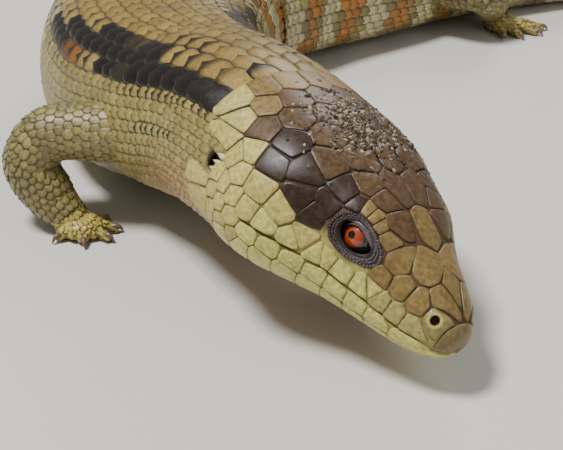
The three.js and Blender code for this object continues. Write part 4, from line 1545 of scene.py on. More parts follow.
def limb_map(index: int, at: NDArray, turn: NDArray) -> NDArray:
    """Lay a leg's skin out flat on the bake map, in its own tile above the body's."""
    across = (np.asarray(turn) / (2 * np.pi)) % 1.0
    return np.stack([0.03 + 0.24 * index + 0.2 * np.asarray(at) / 120, 0.82 + 0.15 * across], -1)


def limb_colour(limb: Limb, at: NDArray, places: NDArray, chance: NDArray) -> NDArray:
    """Colour a leg: olive above, paler below and inside, its toes yellow.

    Args:
        limb: the leg.
        at: distances along it, past its length for the toes.
        places: the points themselves.
        chance: a number from 0 to 1 for each.

    Returns:
        Linear colours.
    """
    low = 1 - smoothstep(2, 14, places[:, 2])
    colour = mixed(tone(Tone.LEG), tone(Tone.LEG_PALE), np.clip(0.35 * low + 0.5 * (chance - 0.3), 0, 1))
    colour = mixed(tone(Tone.FLANK), colour, smoothstep(4, 22, at))
    toes = smoothstep(limb.length - 2, limb.length + 4, at)
    return mixed(colour, tone(Tone.TOE), 0.75 * toes)


def surface_of(piece: Piece) -> tuple[list[Vector], list[tuple[int, ...]]]:
    """List an object's points, in metres, and its faces."""
    mesh = piece.data
    return [v.co.copy() for v in mesh.vertices], [tuple(p.vertices) for p in mesh.polygons]


def joined_tree(surfaces: list[tuple[list[Vector], list[tuple[int, ...]]]]) -> BVHTree:
    """Make one tree of several surfaces."""
    points: list[Vector] = []
    faces: list[tuple[int, ...]] = []
    for some, loops in surfaces:
        start = len(points)
        points.extend(some)
        faces.extend(tuple(k + start for k in loop) for loop in loops)
    return BVHTree.FromPolygons(points, faces)


def point_tree(points: NDArray | list[NDArray]) -> KDTree:
    """Make a tree that finds the nearest of some points."""
    tree = KDTree(len(points))
    for k, point in enumerate(points):
        tree.insert(point, k)
    tree.balance()
    return tree


def bake_modifiers(piece: Piece) -> None:
    """Turn an object's modifiers into plain mesh."""
    graph = bpy.context.evaluated_depsgraph_get()
    made = bpy.data.meshes.new_from_object(piece.evaluated_get(graph))
    piece.modifiers.clear()
    piece.data = made
    piece.data.polygons.foreach_set("use_smooth", np.ones(len(made.polygons), dtype=bool))


def face_out(piece: Piece) -> None:
    """Turn a closed object's faces outward."""
    shape = bmesh.new()
    shape.from_mesh(piece.data)
    bmesh.ops.recalc_face_normals(shape, faces=shape.faces)
    shape.to_mesh(piece.data)
    shape.free()


def cut(piece: Piece, tool: Piece, how: str) -> None:
    """Join a tool to a piece or cut it away, then drop the tool.

    Args:
        piece: what is changed.
        tool: what is joined or cut away.
        how: UNION or DIFFERENCE.
    """
    before = len(piece.data.vertices)
    for solver in ("MANIFOLD", "EXACT"):
        step = piece.modifiers.new("cut", "BOOLEAN")
        step.operation = how
        step.solver = solver
        step.object = tool
        graph = bpy.context.evaluated_depsgraph_get()
        made = bpy.data.meshes.new_from_object(piece.evaluated_get(graph))
        piece.modifiers.clear()
        if len(made.vertices) > before // 2:
            if len(made.vertices) == before:
                LOG.warning("%s changed nothing by %s", tool.name, solver)
                continue
            piece.data = made
            break
        LOG.warning("%s failed by %s", tool.name, solver)
    bpy.data.objects.remove(tool)


def close_rings(ring: NDArray) -> Triple:
    """Skin a row of rings and close its ends with a fan each.

    Args:
        ring: rings by points by 3.

    Returns:
        The points, the four-cornered and the three-cornered faces.
    """
    count, sides = ring.shape[:2]
    index = np.arange(count * sides).reshape(count, sides)
    after = np.roll(index, -1, axis=1)
    quads = np.stack([index[:-1], after[:-1], after[1:], index[1:]], -1).reshape(-1, 4)
    points = np.concatenate([ring.reshape(-1, 3), ring[0].mean(0)[None], ring[-1].mean(0)[None]])
    first = np.stack([np.full(sides, len(points) - 2), after[0], index[0]], -1)
    last = np.stack([np.full(sides, len(points) - 1), index[-1], after[-1]], -1)
    return points, quads, np.concatenate([first, last])


def tube_mesh(tube: Triple, at: NDArray, sides: int, lift: float) -> Triple:
    """Make a closed tube with round ends.

    Args:
        tube: its places, keys and across direction.
        at: where its rings are.
        sides: points a ring.
        lift: height over its surface.

    Returns:
        The points, the four-cornered and the three-cornered faces.
    """
    turn = turns(sides)
    ring = tube_points(tube, at[:, None], turn[None], lift)[0]
    axis = ring.mean(1)
    radius = float(tube[1][-1, 3]) + lift
    run = unit(axis[-1] - axis[-2])
    shape = ring[-1] - axis[-1]
    ends = [axis[-1] + shape * math.cos(t) + run * radius * math.sin(t) for t in (0.5, 0.95, 1.3)]
    ring = np.concatenate([ring, np.stack(ends)])
    ring[..., 2] = np.maximum(ring[..., 2], 0.3)
    return close_rings(ring)


def ellipsoid_mesh(
    centre: NDArray, frame: Triple, size: tuple[float, float, float], sides: int, rings: int
) -> Triple:
    """Make a closed egg whose poles lie on its frame's first direction.

    Args:
        centre: its middle.
        frame: its three directions.
        size: its half sizes along them.
        sides: points a ring.
        rings: rings between the poles.

    Returns:
        The points, the four-cornered and the three-cornered faces.
    """
    tilt = np.pi * (np.arange(rings) + 0.5) / rings
    turn = turns(sides)
    a = np.cos(tilt)[:, None] * np.ones(sides)[None] * size[0]
    b = np.sin(tilt)[:, None] * np.cos(turn)[None] * size[1]
    c = np.sin(tilt)[:, None] * np.sin(turn)[None] * size[2]
    ring = centre + a[..., None] * frame[0] + b[..., None] * frame[1] + c[..., None] * frame[2]
    points, quads, tris = close_rings(ring)
    points[-2] = centre + frame[0] * size[0]
    points[-1] = centre - frame[0] * size[0]
    return points, quads, tris


def add_node(
    tree: bpy.types.NodeTree,
    kind: str,
    settings: dict[str, object] | None = None,
    links: dict[str | int, object] | None = None,
) -> bpy.types.Node:
    """Add a node.

    Args:
        tree: the node tree.
        kind: the node's type.
        settings: values of its properties.
        links: for each input, by name or number, a socket to link or a value to set.

    Returns:
        The node.
    """
    node = tree.nodes.new(kind)
    for name, value in (settings or {}).items():
        setattr(node, name, value)
    for name, value in (links or {}).items():
        socket = node.inputs[name]
        if isinstance(value, bpy.types.NodeSocket):
            tree.links.new(value, socket)
        else:
            socket.default_value = value
    return node


def fresh_finish(name: str) -> tuple[Finish, bpy.types.NodeTree]:
    """Make a material with an empty node tree."""
    material = bpy.data.materials.new(name)
    material.use_nodes = True
    material.node_tree.nodes.clear()
    return material, material.node_tree


@dataclass(frozen=True)
class HornyScale:
    """Keratin over pigment: a smooth horny layer that gives a soft glint over a matt, mottled colour.

    The horn's own grain is finer than 0.05 mm, too fine to show, so `grain_mm` draws it coarser.
    """

    name: str = "keratin_scales"
    roughness: float = 0.36
    ior: float = 1.45
    mottle_mm: float = 0.7
    grain_mm: float = 0.16
    mottle: float = 0.28
    rim: float = 0.8
    rim_tone: Tone = Tone.BROWN
    relief_mm: float = 0.05

    def material(self) -> Finish:
        """Build the material."""
        material, tree = fresh_finish(self.name)
        place = add_node(tree, "ShaderNodeTexCoord").outputs["Object"]
        hide = add_node(tree, "ShaderNodeAttribute", {"attribute_name": "hide"}).outputs["Color"]
        rim = add_node(tree, "ShaderNodeAttribute", {"attribute_name": "rim"}).outputs["Fac"]
        mottle, grain = (
            add_node(
                tree,
                "ShaderNodeTexNoise",
                links={"Vector": place, "Scale": 1 / (size * MM), "Detail": detail, "Roughness": rough},
            ).outputs["Fac"]
            for size, detail, rough in ((self.mottle_mm, 3.0, 0.6), (self.grain_mm, 2.0, 0.5))
        )
        shade, gloss = (
            add_node(
                tree, "ShaderNodeMapRange", links={"Value": mottle, 1: 0.3, 2: 0.7, 3: least, 4: most}
            ).outputs[0]
            for least, most in (
                (1 - self.mottle, 1 + self.mottle), (self.roughness - 0.06, self.roughness + 0.12)
            )
        )
        toned = add_node(tree, "ShaderNodeVectorMath", {"operation": "SCALE"}, {0: hide, "Scale": shade})
        share = add_node(tree, "ShaderNodeMath", {"operation": "MULTIPLY"}, {0: rim, 1: self.rim})
        dark = (*(part * 0.35 for part in linear(self.rim_tone.value)), 1.0)
        rimmed = add_node(
            tree, "ShaderNodeMix", {"data_type": "RGBA"}, {0: share.outputs[0], 6: toned.outputs[0], 7: dark}
        ).outputs[2]
        bump = add_node(
            tree, "ShaderNodeBump", links={"Height": grain, "Distance": self.relief_mm * MM, "Strength": 0.6}
        ).outputs[0]
        shader = add_node(
            tree,
            "ShaderNodeBsdfPrincipled",
            links={"Base Color": rimmed, "Roughness": gloss, "IOR": self.ior, "Normal": bump},
        )
        add_node(tree, "ShaderNodeOutputMaterial", links={"Surface": shader.outputs[0]})
        return material


@dataclass(frozen=True)
class EyeFinish:
    """A wet eyeball: an orange-red iris with fine spokes round a black pupil, under a clear film."""

    name: str = "wet_eye"
    roughness: float = 0.3
    ior: float = 1.376
    pupil: float = 0.16
    iris: float = 0.5
    flecks_a_metre: float = 2200.0

    def material(self) -> Finish:
        """Build the material."""
        material, tree = fresh_finish(self.name)
        gaze = add_node(tree, "ShaderNodeAttribute", {"attribute_name": "gaze"}).outputs["Fac"]
        place = add_node(tree, "ShaderNodeTexCoord").outputs["Object"]
        fleck = add_node(
            tree, "ShaderNodeTexNoise", links={"Vector": place, "Scale": self.flecks_a_metre, "Detail": 2.0}
        ).outputs["Fac"]
        wander = add_node(
            tree, "ShaderNodeMapRange", links={"Value": fleck, 1: 0.3, 2: 0.7, 3: -0.012, 4: 0.012}
        ).outputs[0]
        moved = add_node(tree, "ShaderNodeMath", {"operation": "ADD"}, {0: gaze, 1: wander}).outputs[0]
        ramp = add_node(tree, "ShaderNodeValToRGB", links={"Fac": moved})
        stops = (
            (0.0, "#060404"),
            (self.pupil, "#060404"),
            (self.pupil + 0.015, "#A8480F"),
            (0.26, "#A03A14"),
            (0.4, "#93330F"),
            (self.iris, "#6A3412"),
            (self.iris + 0.08, "#1C1010"),
        )
        ramp.color_ramp.elements[0].position = 0.0
        ramp.color_ramp.elements[1].position = 1.0
        ramp.color_ramp.elements[0].color = (*linear(stops[0][1]), 1.0)
        ramp.color_ramp.elements[1].color = (*linear("#140C0C"), 1.0)
        for place_at, code in stops[1:]:
            element = ramp.color_ramp.elements.new(place_at)
            element.color = (*linear(code), 1.0)
        shader = add_node(
            tree,
            "ShaderNodeBsdfPrincipled",
            links={
                "Base Color": ramp.outputs[0],
                "Roughness": self.roughness,
                "IOR": self.ior,
                "Coat Weight": 1.0,
                "Coat Roughness": 0.03,
            },
        )
        add_node(tree, "ShaderNodeOutputMaterial", links={"Surface": shader.outputs[0]})
        return material


@dataclass(frozen=True)
class FloorFinish:
    """A pale matt floor of a studio."""

    name: str = "pale_floor"
    colour: str = "#CFCBC2"
    roughness: float = 0.8

    def material(self) -> Finish:
        """Build the material."""
        material, tree = fresh_finish(self.name)
        shader = add_node(
            tree,
            "ShaderNodeBsdfPrincipled",
            links={"Base Color": (*linear(self.colour), 1.0), "Roughness": self.roughness},
        )
        add_node(tree, "ShaderNodeOutputMaterial", links={"Surface": shader.outputs[0]})
        return material


@dataclass
class Seeding:
    """A Geometry Nodes tree that sets one small shape on every point of a mesh, laid along its surface.

    The points carry `away`, `along`, `size`, `hide` and `bake`; the shape carries `rim` and `patch`.
    """

    spread: float = 0.1
    seed: int = SEED
    inputs: tuple[tuple[str, str], ...] = (
        ("Geometry", "Geometry"),
        ("Shape", "Object"),
        ("Size spread", "Float"),
        ("Seed", "Int"),
        ("Finish", "Material"),
    )

    def tree(self) -> bpy.types.NodeTree:
        """Build the tree."""
        tree = bpy.data.node_groups.new("set_scales", "GeometryNodeTree")
        for label, kind in self.inputs:
            tree.interface.new_socket(label, in_out="INPUT", socket_type=f"NodeSocket{kind}")
        tree.interface.new_socket("Geometry", in_out="OUTPUT", socket_type="NodeSocketGeometry")
        given = add_node(tree, "NodeGroupInput").outputs

        def read(name: str, kind: str) -> bpy.types.NodeSocket:
            """Read a named attribute."""
            node = add_node(tree, "GeometryNodeInputNamedAttribute", {"data_type": kind}, {"Name": name})
            return next(s for s in node.outputs if s.enabled and s.name == "Attribute")

        turn = add_node(
            tree,
            "FunctionNodeAxesToRotation",
            {"primary_axis": "Z", "secondary_axis": "X"},
            {0: read("away", "FLOAT_VECTOR"), 1: read("along", "FLOAT_VECTOR")},
        ).outputs[0]
        least, most = (
            add_node(tree, "ShaderNodeMath", {"operation": how}, {0: 1.0, 1: given["Size spread"]})
            for how in ("SUBTRACT", "ADD")
        )
        grow = add_node(
            tree,
            "FunctionNodeRandomValue",
            {"data_type": "FLOAT"},
            {2: least.outputs[0], 3: most.outputs[0], "Seed": given["Seed"]},
        ).outputs[1]
        size = add_node(
            tree,
            "ShaderNodeVectorMath",
            {"operation": "SCALE"},
            {0: read("size", "FLOAT_VECTOR"), "Scale": grow},
        ).outputs[0]
        shape = add_node(tree, "GeometryNodeObjectInfo", links={"Object": given["Shape"]})
        placed = add_node(
            tree,
            "GeometryNodeInstanceOnPoints",
            links={
                "Points": given["Geometry"],
                "Instance": shape.outputs["Geometry"],
                "Rotation": turn,
                "Scale": size,
            },
        ).outputs[0]
        real = add_node(tree, "GeometryNodeRealizeInstances", links={"Geometry": placed}).outputs[0]
        spot = add_node(
            tree,
            "ShaderNodeVectorMath",
            {"operation": "ADD"},
            {0: read("bake", "FLOAT_VECTOR"), 1: read("patch", "FLOAT_VECTOR")},
        ).outputs[0]
        mapped = add_node(
            tree,
            "GeometryNodeStoreNamedAttribute",
            {"data_type": "FLOAT2", "domain": "CORNER"},
            {"Geometry": real, "Name": BAKE_MAP, "Value": spot},
        ).outputs[0]
        done = add_node(
            tree, "GeometryNodeSetMaterial", links={"Geometry": mapped, "Material": given["Finish"]}
        ).outputs[0]
        add_node(tree, "NodeGroupOutput", links={"Geometry": done})
        return tree

    def place(
        self,
        name: str,
        points: NDArray,
        away: NDArray,
        along: NDArray,
        size: NDArray,
        colour: NDArray,
        bake: NDArray,
        shape: Piece,
        material: Finish,
    ) -> Piece:
        """Set the shape on points.

        Args:
            name: the new object's name.
            points: the places.
            away: the outward directions.
            along: the directions in which the shapes lie.
            size: the shapes' length, half width and height.
            colour: linear colours.
            bake: places on the bake map.
            shape: what is set.
            material: the finish.

        Returns:
            One plain mesh object.
        """
        piece = make_mesh(name, points, NO_QUADS, NO_TRIS, material)
        set_colour(piece, colour)
        flat = np.pad(bake, ((0, 0), (0, 1)))
        for label, values in (("away", away), ("along", along), ("size", size), ("bake", flat)):
            set_vector(piece, label, values)
        step = piece.modifiers.new("set_scales", "NODES")
        step.node_group = self.tree()
        values = {"Shape": shape, "Size spread": self.spread, "Seed": self.seed, "Finish": material}
        for item in step.node_group.interface.items_tree:
            if item.in_out == "INPUT" and item.name in values:
                step[item.identifier] = values[item.name]
        bake_modifiers(piece)
        raw = np.zeros(len(piece.data.vertices) * 3)
        piece.data.vertices.foreach_get("co", raw)
        raw[2::3] = np.maximum(raw[2::3], 0.0)
        piece.data.vertices.foreach_set("co", raw)
        for label in ("away", "along", "size", "bake", "patch"):
            layer = piece.data.attributes.get(label)
            if layer is not None:
                piece.data.attributes.remove(layer)
        return piece


def scale_shape(scale: Shingle, material: Finish) -> Piece:
    """Make one scale as an object a metre long and half as wide each way, to be set on points."""
    points = np.stack([scale.all_b - 0.3, scale.all_a, scale.all_high], -1) / MM
    shape = make_mesh("one_scale", points, scale.quads, NO_TRIS, material)
    set_number(shape, "rim", scale.all_rim)
    set_vector(shape, "patch", np.pad(scale.patch, ((0, 0), (0, 1))))
    return shape


@dataclass
class CrownFlakes:
    """The small, rough flakes of healed skin that lie over the shields of the crown."""

    form: BodyForm
    count: int = 900
    middle: float = 8.5
    spread: tuple[float, float] = (9.0, 7.5)
    lift: float = 0.42

    def build(self, material: Finish) -> Piece:
        """Scatter the flakes."""
        chance = np.random.default_rng(SEED + 50)
        x = self.middle + chance.normal(0, self.spread[0] * 0.62, self.count)
        q = chance.normal(0, self.spread[1], self.count)
        u, v = self.form.on_head(x, q)
        place = self.form.skin(u, v, self.lift)
        away = unit(self.form.skin(u, v, self.lift + 1) - place + chance.normal(0, 0.16, (self.count, 3)))
        along = unit(chance.normal(0, 1, (self.count, 3)))
        along = unit(along - away * (along * away).sum(1, keepdims=True))
        wide = chance.uniform(0.35, 1.05, self.count)
        size = np.stack([wide * 1.5, wide * chance.uniform(0.6, 1, self.count), 0.5 + 0.4 * wide], -1)
        pale = chance.uniform(0, 1, self.count)
        colour = mixed(tone(Tone.CROWN) * 0.75, tone(Tone.CREAM) * 0.62, smoothstep(0.72, 0.9, pale))
        colour = mixed(tone(Tone.BLACK) * 3, colour, smoothstep(0.1, 0.35, pale))
        shape = scale_shape(
            Shingle(across=5, along=4, square=2.0, tuck=-0.2, lift=0.3, dome=0.2, thick=0.5), material
        )
        flakes = Seeding(spread=0.2, seed=SEED + 51).place(
            "crown_flakes", place, away, along, size * MM, colour, body_map(self.form, u, v), shape, material
        )
        bpy.data.objects.remove(shape)
        return flakes


@dataclass
class LegScales:
    """The small overlapping scales of the legs, feet and toes."""

    form: BodyForm
    pitch: float = 2.15
    fine: float = 1.5
    stray: float = 0.9
    sunk: float = 0.5

    def build(self, trees: list[BVHTree], body: BVHTree, material: Finish) -> list[Piece]:
        """Set the scales of every leg.

        Args:
            trees: each leg's surface.
            body: the trunk's surface.
            material: the finish.

        Returns:
            One piece for each leg.
        """
        scale = Shingle(across=5, along=5, tuck=-0.1, lift=0.34, dome=0.16, thick=0.4)
        shape = scale_shape(scale, material)
        pieces = []
        for k, limb in enumerate(LIMBS):
            pieces.append(self._leg(k, limb, trees[k], body, shape, material))
        bpy.data.objects.remove(shape)
        return pieces

    def _leg(
        self, index: int, limb: Limb, tree: BVHTree, trunk: BVHTree, shape: Piece, material: Finish
    ) -> Piece:
        """Set one leg's scales, in rows along its tubes and then wherever a gap is left."""
        chance = np.random.default_rng(SEED + 10 + index)
        entries = self._rows(limb)
        near = point_tree([entry[0] for entry in entries])
        for point in self._fill(limb, chance):
            entries.append((point, *entries[near.find(point)[1]][1:4], False))
        kept: list[tuple[NDArray, NDArray, NDArray, float, float]] = []
        taken = np.zeros((len(entries), 3))
        for point, run, small, at, first in entries:
            hit, normal, _, far = tree.find_nearest(Vector(point * MM))
            if hit is None or (first and far > self.stray * MM):
                continue
            wall, face, _, _ = trunk.find_nearest(hit)
            if (hit - wall).dot(face) < -self.sunk * MM:
                continue
            spot = np.array(hit) / MM
            gap = np.linalg.norm(taken[: len(kept)] - spot, axis=1)
            if (gap < small * (0.6 if first else 0.72)).any():
                continue
            taken[len(kept)] = spot
            kept.append((spot, np.array(normal), run, small, at))
        place, normal, run, small, at = (np.array(column) for column in zip(*kept))
        low = place[:, 2] < 0.6
        off_sole = np.linalg.norm((place - limb.middle) / np.array([1, 1, 1.3]), axis=1)
        near_sole = off_sole < limb.sole[0] * 0.85
        run = np.where(near_sole[:, None], limb.ahead, run)
        run = unit(run - normal * (run * normal).sum(1, keepdims=True))
        high = np.clip(small / 1.6 - 0.42, 0.4, 1) * np.where(low, 0.3, 1)
        size = np.stack([small * 1.75, small * 0.68, high], -1) * MM
        luck = chance.uniform(0, 1, len(place))
        colour = limb_colour(limb, at, place, luck) * (0.9 + 0.2 * luck[:, None])
        turn = np.arctan2(normal @ np.array([0, 0, 1.0]), normal @ limb.across)
        LOG.info("%s: %d scales", limb.name, len(place))
        return Seeding(seed=SEED + index).place(
            f"{limb.name}_scales",
            place,
            normal,
            run,
            size,
            colour,
            limb_map(index, at, turn),
            shape,
            material,
        )

    def _rows(self, limb: Limb) -> list[tuple[NDArray, NDArray, float, float, bool]]:
        """List the places of the regular rows, with direction, pitch and distance along the leg."""
        rows = []
        for n, tube in enumerate(limb.tubes()):
            pitch = self.pitch if n == 0 else self.fine
            for row, place in enumerate(np.arange(0.0, tube[0][-1] + (1.2 if n else 0.0), pitch)):
                radius = float(smoothed(tube[0], tube[1][:, 3], np.array(place)))
                small = pitch * (1.0 if n else (0.8 + 0.25 * (radius - 4.8) / 4))
                count = max(5, int(round(2 * math.pi * radius / (small * 1.15))))
                turn = 2 * np.pi * (np.arange(count) + 0.5 * (row % 2)) / count
                points, _, run = tube_points(tube, np.full(count, place), turn, -self.form.depth)
                at = place + (limb.length + 2) * (n > 0)
                rows.extend((points[k], run[k], small, at, True) for k in range(count))
        return rows

    def _fill(self, limb: Limb, chance: np.random.Generator) -> list[NDArray]:
        """Scatter places over a leg by throwing points at it from around its line."""
        spots: list[NDArray] = []
        for tube in limb.tubes():
            many = int(tube[0][-1] * 60)
            at = chance.uniform(0, tube[0][-1], many)
            turn = chance.uniform(0, 2 * np.pi, many)
            spots.extend(tube_points(tube, at, turn, 0.5)[0])
        long, wide, _, high = limb.sole
        many = 900
        way = unit(chance.normal(0, 1, (many, 3)))
        side = np.array([-limb.ahead[1], limb.ahead[0], 0.0])
        egg = limb.middle + way[:, :1] * long * limb.ahead + way[:, 1:2] * wide * side
        egg[:, 2] += way[:, 2] * high
        spots.extend(egg[way[:, 2] > -0.2])
        return spots


@dataclass
class Eyes:
    """The eyeballs, sunk behind thick lids with beaded rims."""

    hide: Hide
    radius: float = 4.1
    look: tuple[float, float, float] = (0.02, 0.97, 0.16)
    upper: tuple[float, float] = (0.62, 1.36)
    lower: tuple[float, float] = (0.94, 1.32)
    columns: int = 14
    steps: int = 44

    def build(self, eye: Finish, scales: Finish) -> tuple[list[Piece], list[Piece]]:
        """Make both eyes, and their lids and beads.

        Args:
            eye: the eyeball's finish.
            scales: the lids' finish.

        Returns:
            The left and the right eye, then the lids and the beads as a piece each.
        """
        balls: list[Piece] = []
        lids = Plates()
        rows: list[tuple[NDArray, ...]] = []
        for side, name in ((1, "eye_ball_left"), (-1, "eye_ball_right")):
            balls.append(self._ball(side, name, eye))
            self._lid(lids, side, True)
            self._lid(lids, side, False)
            rows.append(self._row(side, 1.0, 5.25, 0.2, 30, np.pi, 2 * np.pi))
            rows.append(self._row(side, 1.12, 5.62, 0.24, 26, np.pi, 2 * np.pi))
            for wide, size, count in ((5.95, 0.26, 62), (6.4, 0.3, 56), (6.95, 0.36, 50)):
                rows.append(self._granules(side, wide, size, count))
            rows.append(self._row(side, 0.7, 4.95, 0.14, 34, 0.25, np.pi - 0.25))
        bead = self._bead(scales)
        columns = [np.concatenate(part) for part in zip(*rows)]
        place, away, along, size, colour, bake = columns
        beads = Seeding(spread=0.15, seed=SEED + 30).place(
            "lid_beads", place, away, along, size * MM, colour, bake, bead, scales
        )
        bpy.data.objects.remove(bead)
        return balls, [lids.build("eye_lids", scales), beads]

    def _ball(self, side: int, name: str, eye: Finish) -> Piece:
        """Make one eyeball, that knows how far each point is from where it looks."""
        centre, gaze, along, _ = self.hide.shields.eye(side)
        _, forward, left, up = self.hide.form.frame(np.array(0.0))
        look = unit(forward * self.look[0] + left * side * self.look[1] + up * self.look[2])
        frame = (gaze, along, np.cross(gaze, along))
        points, quads, tris = ellipsoid_mesh(centre, frame, (self.radius,) * 3, 72, 48)
        ball = make_mesh(name, points, quads, tris, eye)
        face_out(ball)
        turn = np.arccos(np.clip((points - centre) @ look / self.radius, -1, 1))
        set_number(ball, "gaze", turn / 1.35)
        set_map(ball, 0.5 + (points - centre)[:, :2] * 0.01)
        return ball

    def _place(self, side: int, flat: NDArray, radius: NDArray) -> NDArray:
        """Set places, given along and up over the lids' gap, at a distance from the eye's middle."""
        centre, gaze, along, up = self.hide.shields.eye(side)
        deep = np.sqrt(np.maximum(radius**2 - (flat**2).sum(-1), 0.4))
        return centre + flat[..., :1] * along + flat[..., 1:] * up + deep[..., None] * gaze

    def _lid(self, lids: Plates, side: int, upper: bool) -> None:
        """Add one thick lid: from its edge on the ball, over its swell and crease, to the shields."""
        low, high = self.upper if upper else self.lower
        share = np.linspace(0, 1, self.columns)
        turn = np.linspace(-0.12, np.pi + 0.12, self.steps) + (0 if upper else np.pi)
        middle = np.sin(np.linspace(0, np.pi, self.steps))
        inner = 1.02 - (1.02 - low) * np.clip(middle * 1.25, 0, 1) if upper else np.full(self.steps, low)
        wide = inner[:, None] + (high - inner[:, None]) * share[None]
        flat = self.hide.shields.almond(turn)[:, None] * wide[..., None]
        stops = [0, 0.05, 0.16, 0.34, 0.5, 0.6, 0.7, 0.85, 1]
        swell = [4.0, 4.55, 5.1, 5.5, 5.6, 5.42, 5.68, 5.75, 5.2]
        radius = np.interp(share, stops, swell)[None] * np.ones((self.steps, 1))
        flesh = tone(Tone.LID) if upper else tone(Tone.EYE_RIM) * 1.5
        tones = np.stack([tone(Tone.BLACK), flesh, flesh, tone(Tone.BLACK), tone(Tone.SNOUT) * 0.6])
        colour = np.stack([np.interp(share, [0.02, 0.2, 0.48, 0.6, 0.8], tones[:, c]) for c in range(3)], -1)
        points = self._place(side, flat, radius)
        quads = grid_faces(self.steps, self.columns)
        normal = np.cross(points[1, 1] - points[1, 0], points[2, 0] - points[1, 0])
        if float(normal @ (points[1, 1] - self.hide.shields.eye(side)[0])) > 0:
            quads = quads[:, ::-1]
        count = points.shape[0] * points.shape[1]
        behind = smoothstep(0.5, -1.5, flat[..., 0])[..., None] * (share[:, None] > 0.6)
        colour = colour[None] * (1 - behind) + tone(Tone.BLACK) * 1.5 * behind
        colour = colour.reshape(1, -1, 3)
        bake = self._bake(side, flat.reshape(-1, 2))
        rim = np.zeros(count)
        lids.add(points.reshape(1, -1, 3), quads, NO_TRIS, colour, rim, bake[None])

    def _bake(self, side: int, flat: NDArray) -> NDArray:
        """Lay places over the gap of the lids on the bake map."""
        form = self.hide.form
        u = form.head_length - form.eye[0] - flat[:, 0]
        return body_map(form, u, side * (0.45 - 0.02 * flat[:, 1]))

    def _row(
        self, side: int, wide: float, radius: float, size: float, count: int, start: float, end: float
    ) -> tuple[NDArray, ...]:
        """Lay out one row of beads.

        Args:
            side: 1 for the left eye, -1 for the right.
            wide: the row's size against the gap between the lids.
            radius: its distance from the eye's middle.
            size: half the size of a bead.
            count: how many beads.
            start: the angle it starts at.
            end: the angle it ends at.

        Returns:
            The beads' places, directions out and along, sizes, colours and places on the bake map.
        """
        turn = np.linspace(start, end, count)
        flat = self.hide.shields.almond(turn) * wide
        place = self._place(side, flat, np.full(count, radius))
        away = unit(place - self.hide.shields.eye(side)[0])
        along = unit(np.gradient(place, axis=0))
        sizes = np.tile([size * 1.25, size, size * 0.85], (count, 1))
        shade = tone(Tone.LID) * 0.8 if wide < 0.9 else tone(Tone.EYE_RIM) * 1.6
        return place, away, along, sizes, np.tile(shade, (count, 1)), self._bake(side, flat)

    def _granules(self, side: int, wide: float, size: float, count: int) -> tuple[NDArray, ...]:
        """Lay out a ring of granules on the skin round the lids.

        Args:
            side: 1 for the left eye, -1 for the right.
            wide: half the ring's length, over the bulge.
            size: half the size of a granule.
            count: how many granules.

        Returns:
            The same as `_row`.
        """
        form = self.hide.form
        turn = turns(count)
        x, q = self.hide.shields.round_eye(turn, wide, wide * 0.62 + 0.25)
        u, v = form.on_head(x, side * q)
        place = form.skin(u, v, 0.02)
        away = unit(form.skin(u, v, 1.0) - place)
        along = unit(np.roll(place, -1, axis=0) - np.roll(place, 1, axis=0))
        sizes = np.tile([size * 1.3, size * 1.1, size * 0.9], (count, 1))
        dark = smoothstep(0.3, -0.5, np.cos(turn))
        colour = mixed(tone(Tone.LID) * 0.6, tone(Tone.EYE_RIM) * 1.2, dark)
        return place, away, along, sizes, colour, body_map(form, u, v)

    def _bead(self, material: Finish) -> Piece:
        """Make one bead of a lid's rim, a metre in half size."""
        frame = (np.array([0, 0, 1.0]), np.array([1.0, 0, 0]), np.array([0, 1.0, 0]))
        points, quads, tris = ellipsoid_mesh(np.zeros(3), frame, (1 / MM,) * 3, 10, 6)
        bead = make_mesh("one_bead", points, quads, tris, material)
        face_out(bead)
        set_number(bead, "rim", np.clip(0.5 - points[:, 2] * MM, 0, 1))
        set_vector(bead, "patch", points * MM * PATCH / 2 * np.array([1, 1, 0]))
        return bead


@dataclass
class Claws:
    """Every claw of the four feet, as one piece."""

    sides: int = 14

    def build(self, material: Finish) -> Piece:
        """Make the claws."""
        plates = Plates()
        for index, limb in enumerate(LIMBS):
            for claw in limb.claws():
                at = np.linspace(0, claw[0][-1], 12)
                turn = turns(self.sides)
                ring = tube_points(claw, at[:, None], turn[None])[0]
                points, quads, tris = close_rings(ring)
                share = np.append(np.repeat(np.linspace(0, 1, 12), self.sides), [0.0, 1.0])
                colour = mixed(tone(Tone.LEG_PALE) * 0.5, tone(Tone.CLAW), smoothstep(0.05, 0.4, share))
                flat = limb_map(index, np.full(len(points), limb.length + 14), share)
                plates.add(points[None], quads, tris, colour[None], np.zeros(len(points)), flat[None])
        piece = plates.build("claws", material)
        face_out(piece)
        return piece


@dataclass
class EarLobules:
    """The pointed scales that overhang the front of each ear."""

    form: BodyForm

    def build(self, material: Finish) -> Piece:
        """Make both ears' lobules."""
        scale = Shingle(square=1.5, tuck=-0.2, lift=0.75, dome=0.3, thick=0.5)
        plates = Plates()
        for side in (1, -1):
            x = np.array([-1.2, -0.9, -1.1])
            q = np.array([34.0, 35.8, 37.6])
            u, v = self.form.on_head(x, side * q)
            along = u[:, None] + (scale.all_b[None] - 0.3) * np.array([2.4, 2.7, 2.3])[:, None]
            around = v[:, None] + scale.all_a[None] * 0.75 / self.form.girth(u)[:, None]
            points = self.form.skin(along, around, scale.all_high[None] * np.ones((3, 1)))
            colour = np.repeat(tone(Tone.CREAM)[None], 3, axis=0)
            flat = body_map(self.form, u, v)[:, None]
            plates.add(points, scale.quads, NO_TRIS, colour, scale.all_rim * 0.4, flat + scale.patch)
        return plates.build("ear_lobules", material)


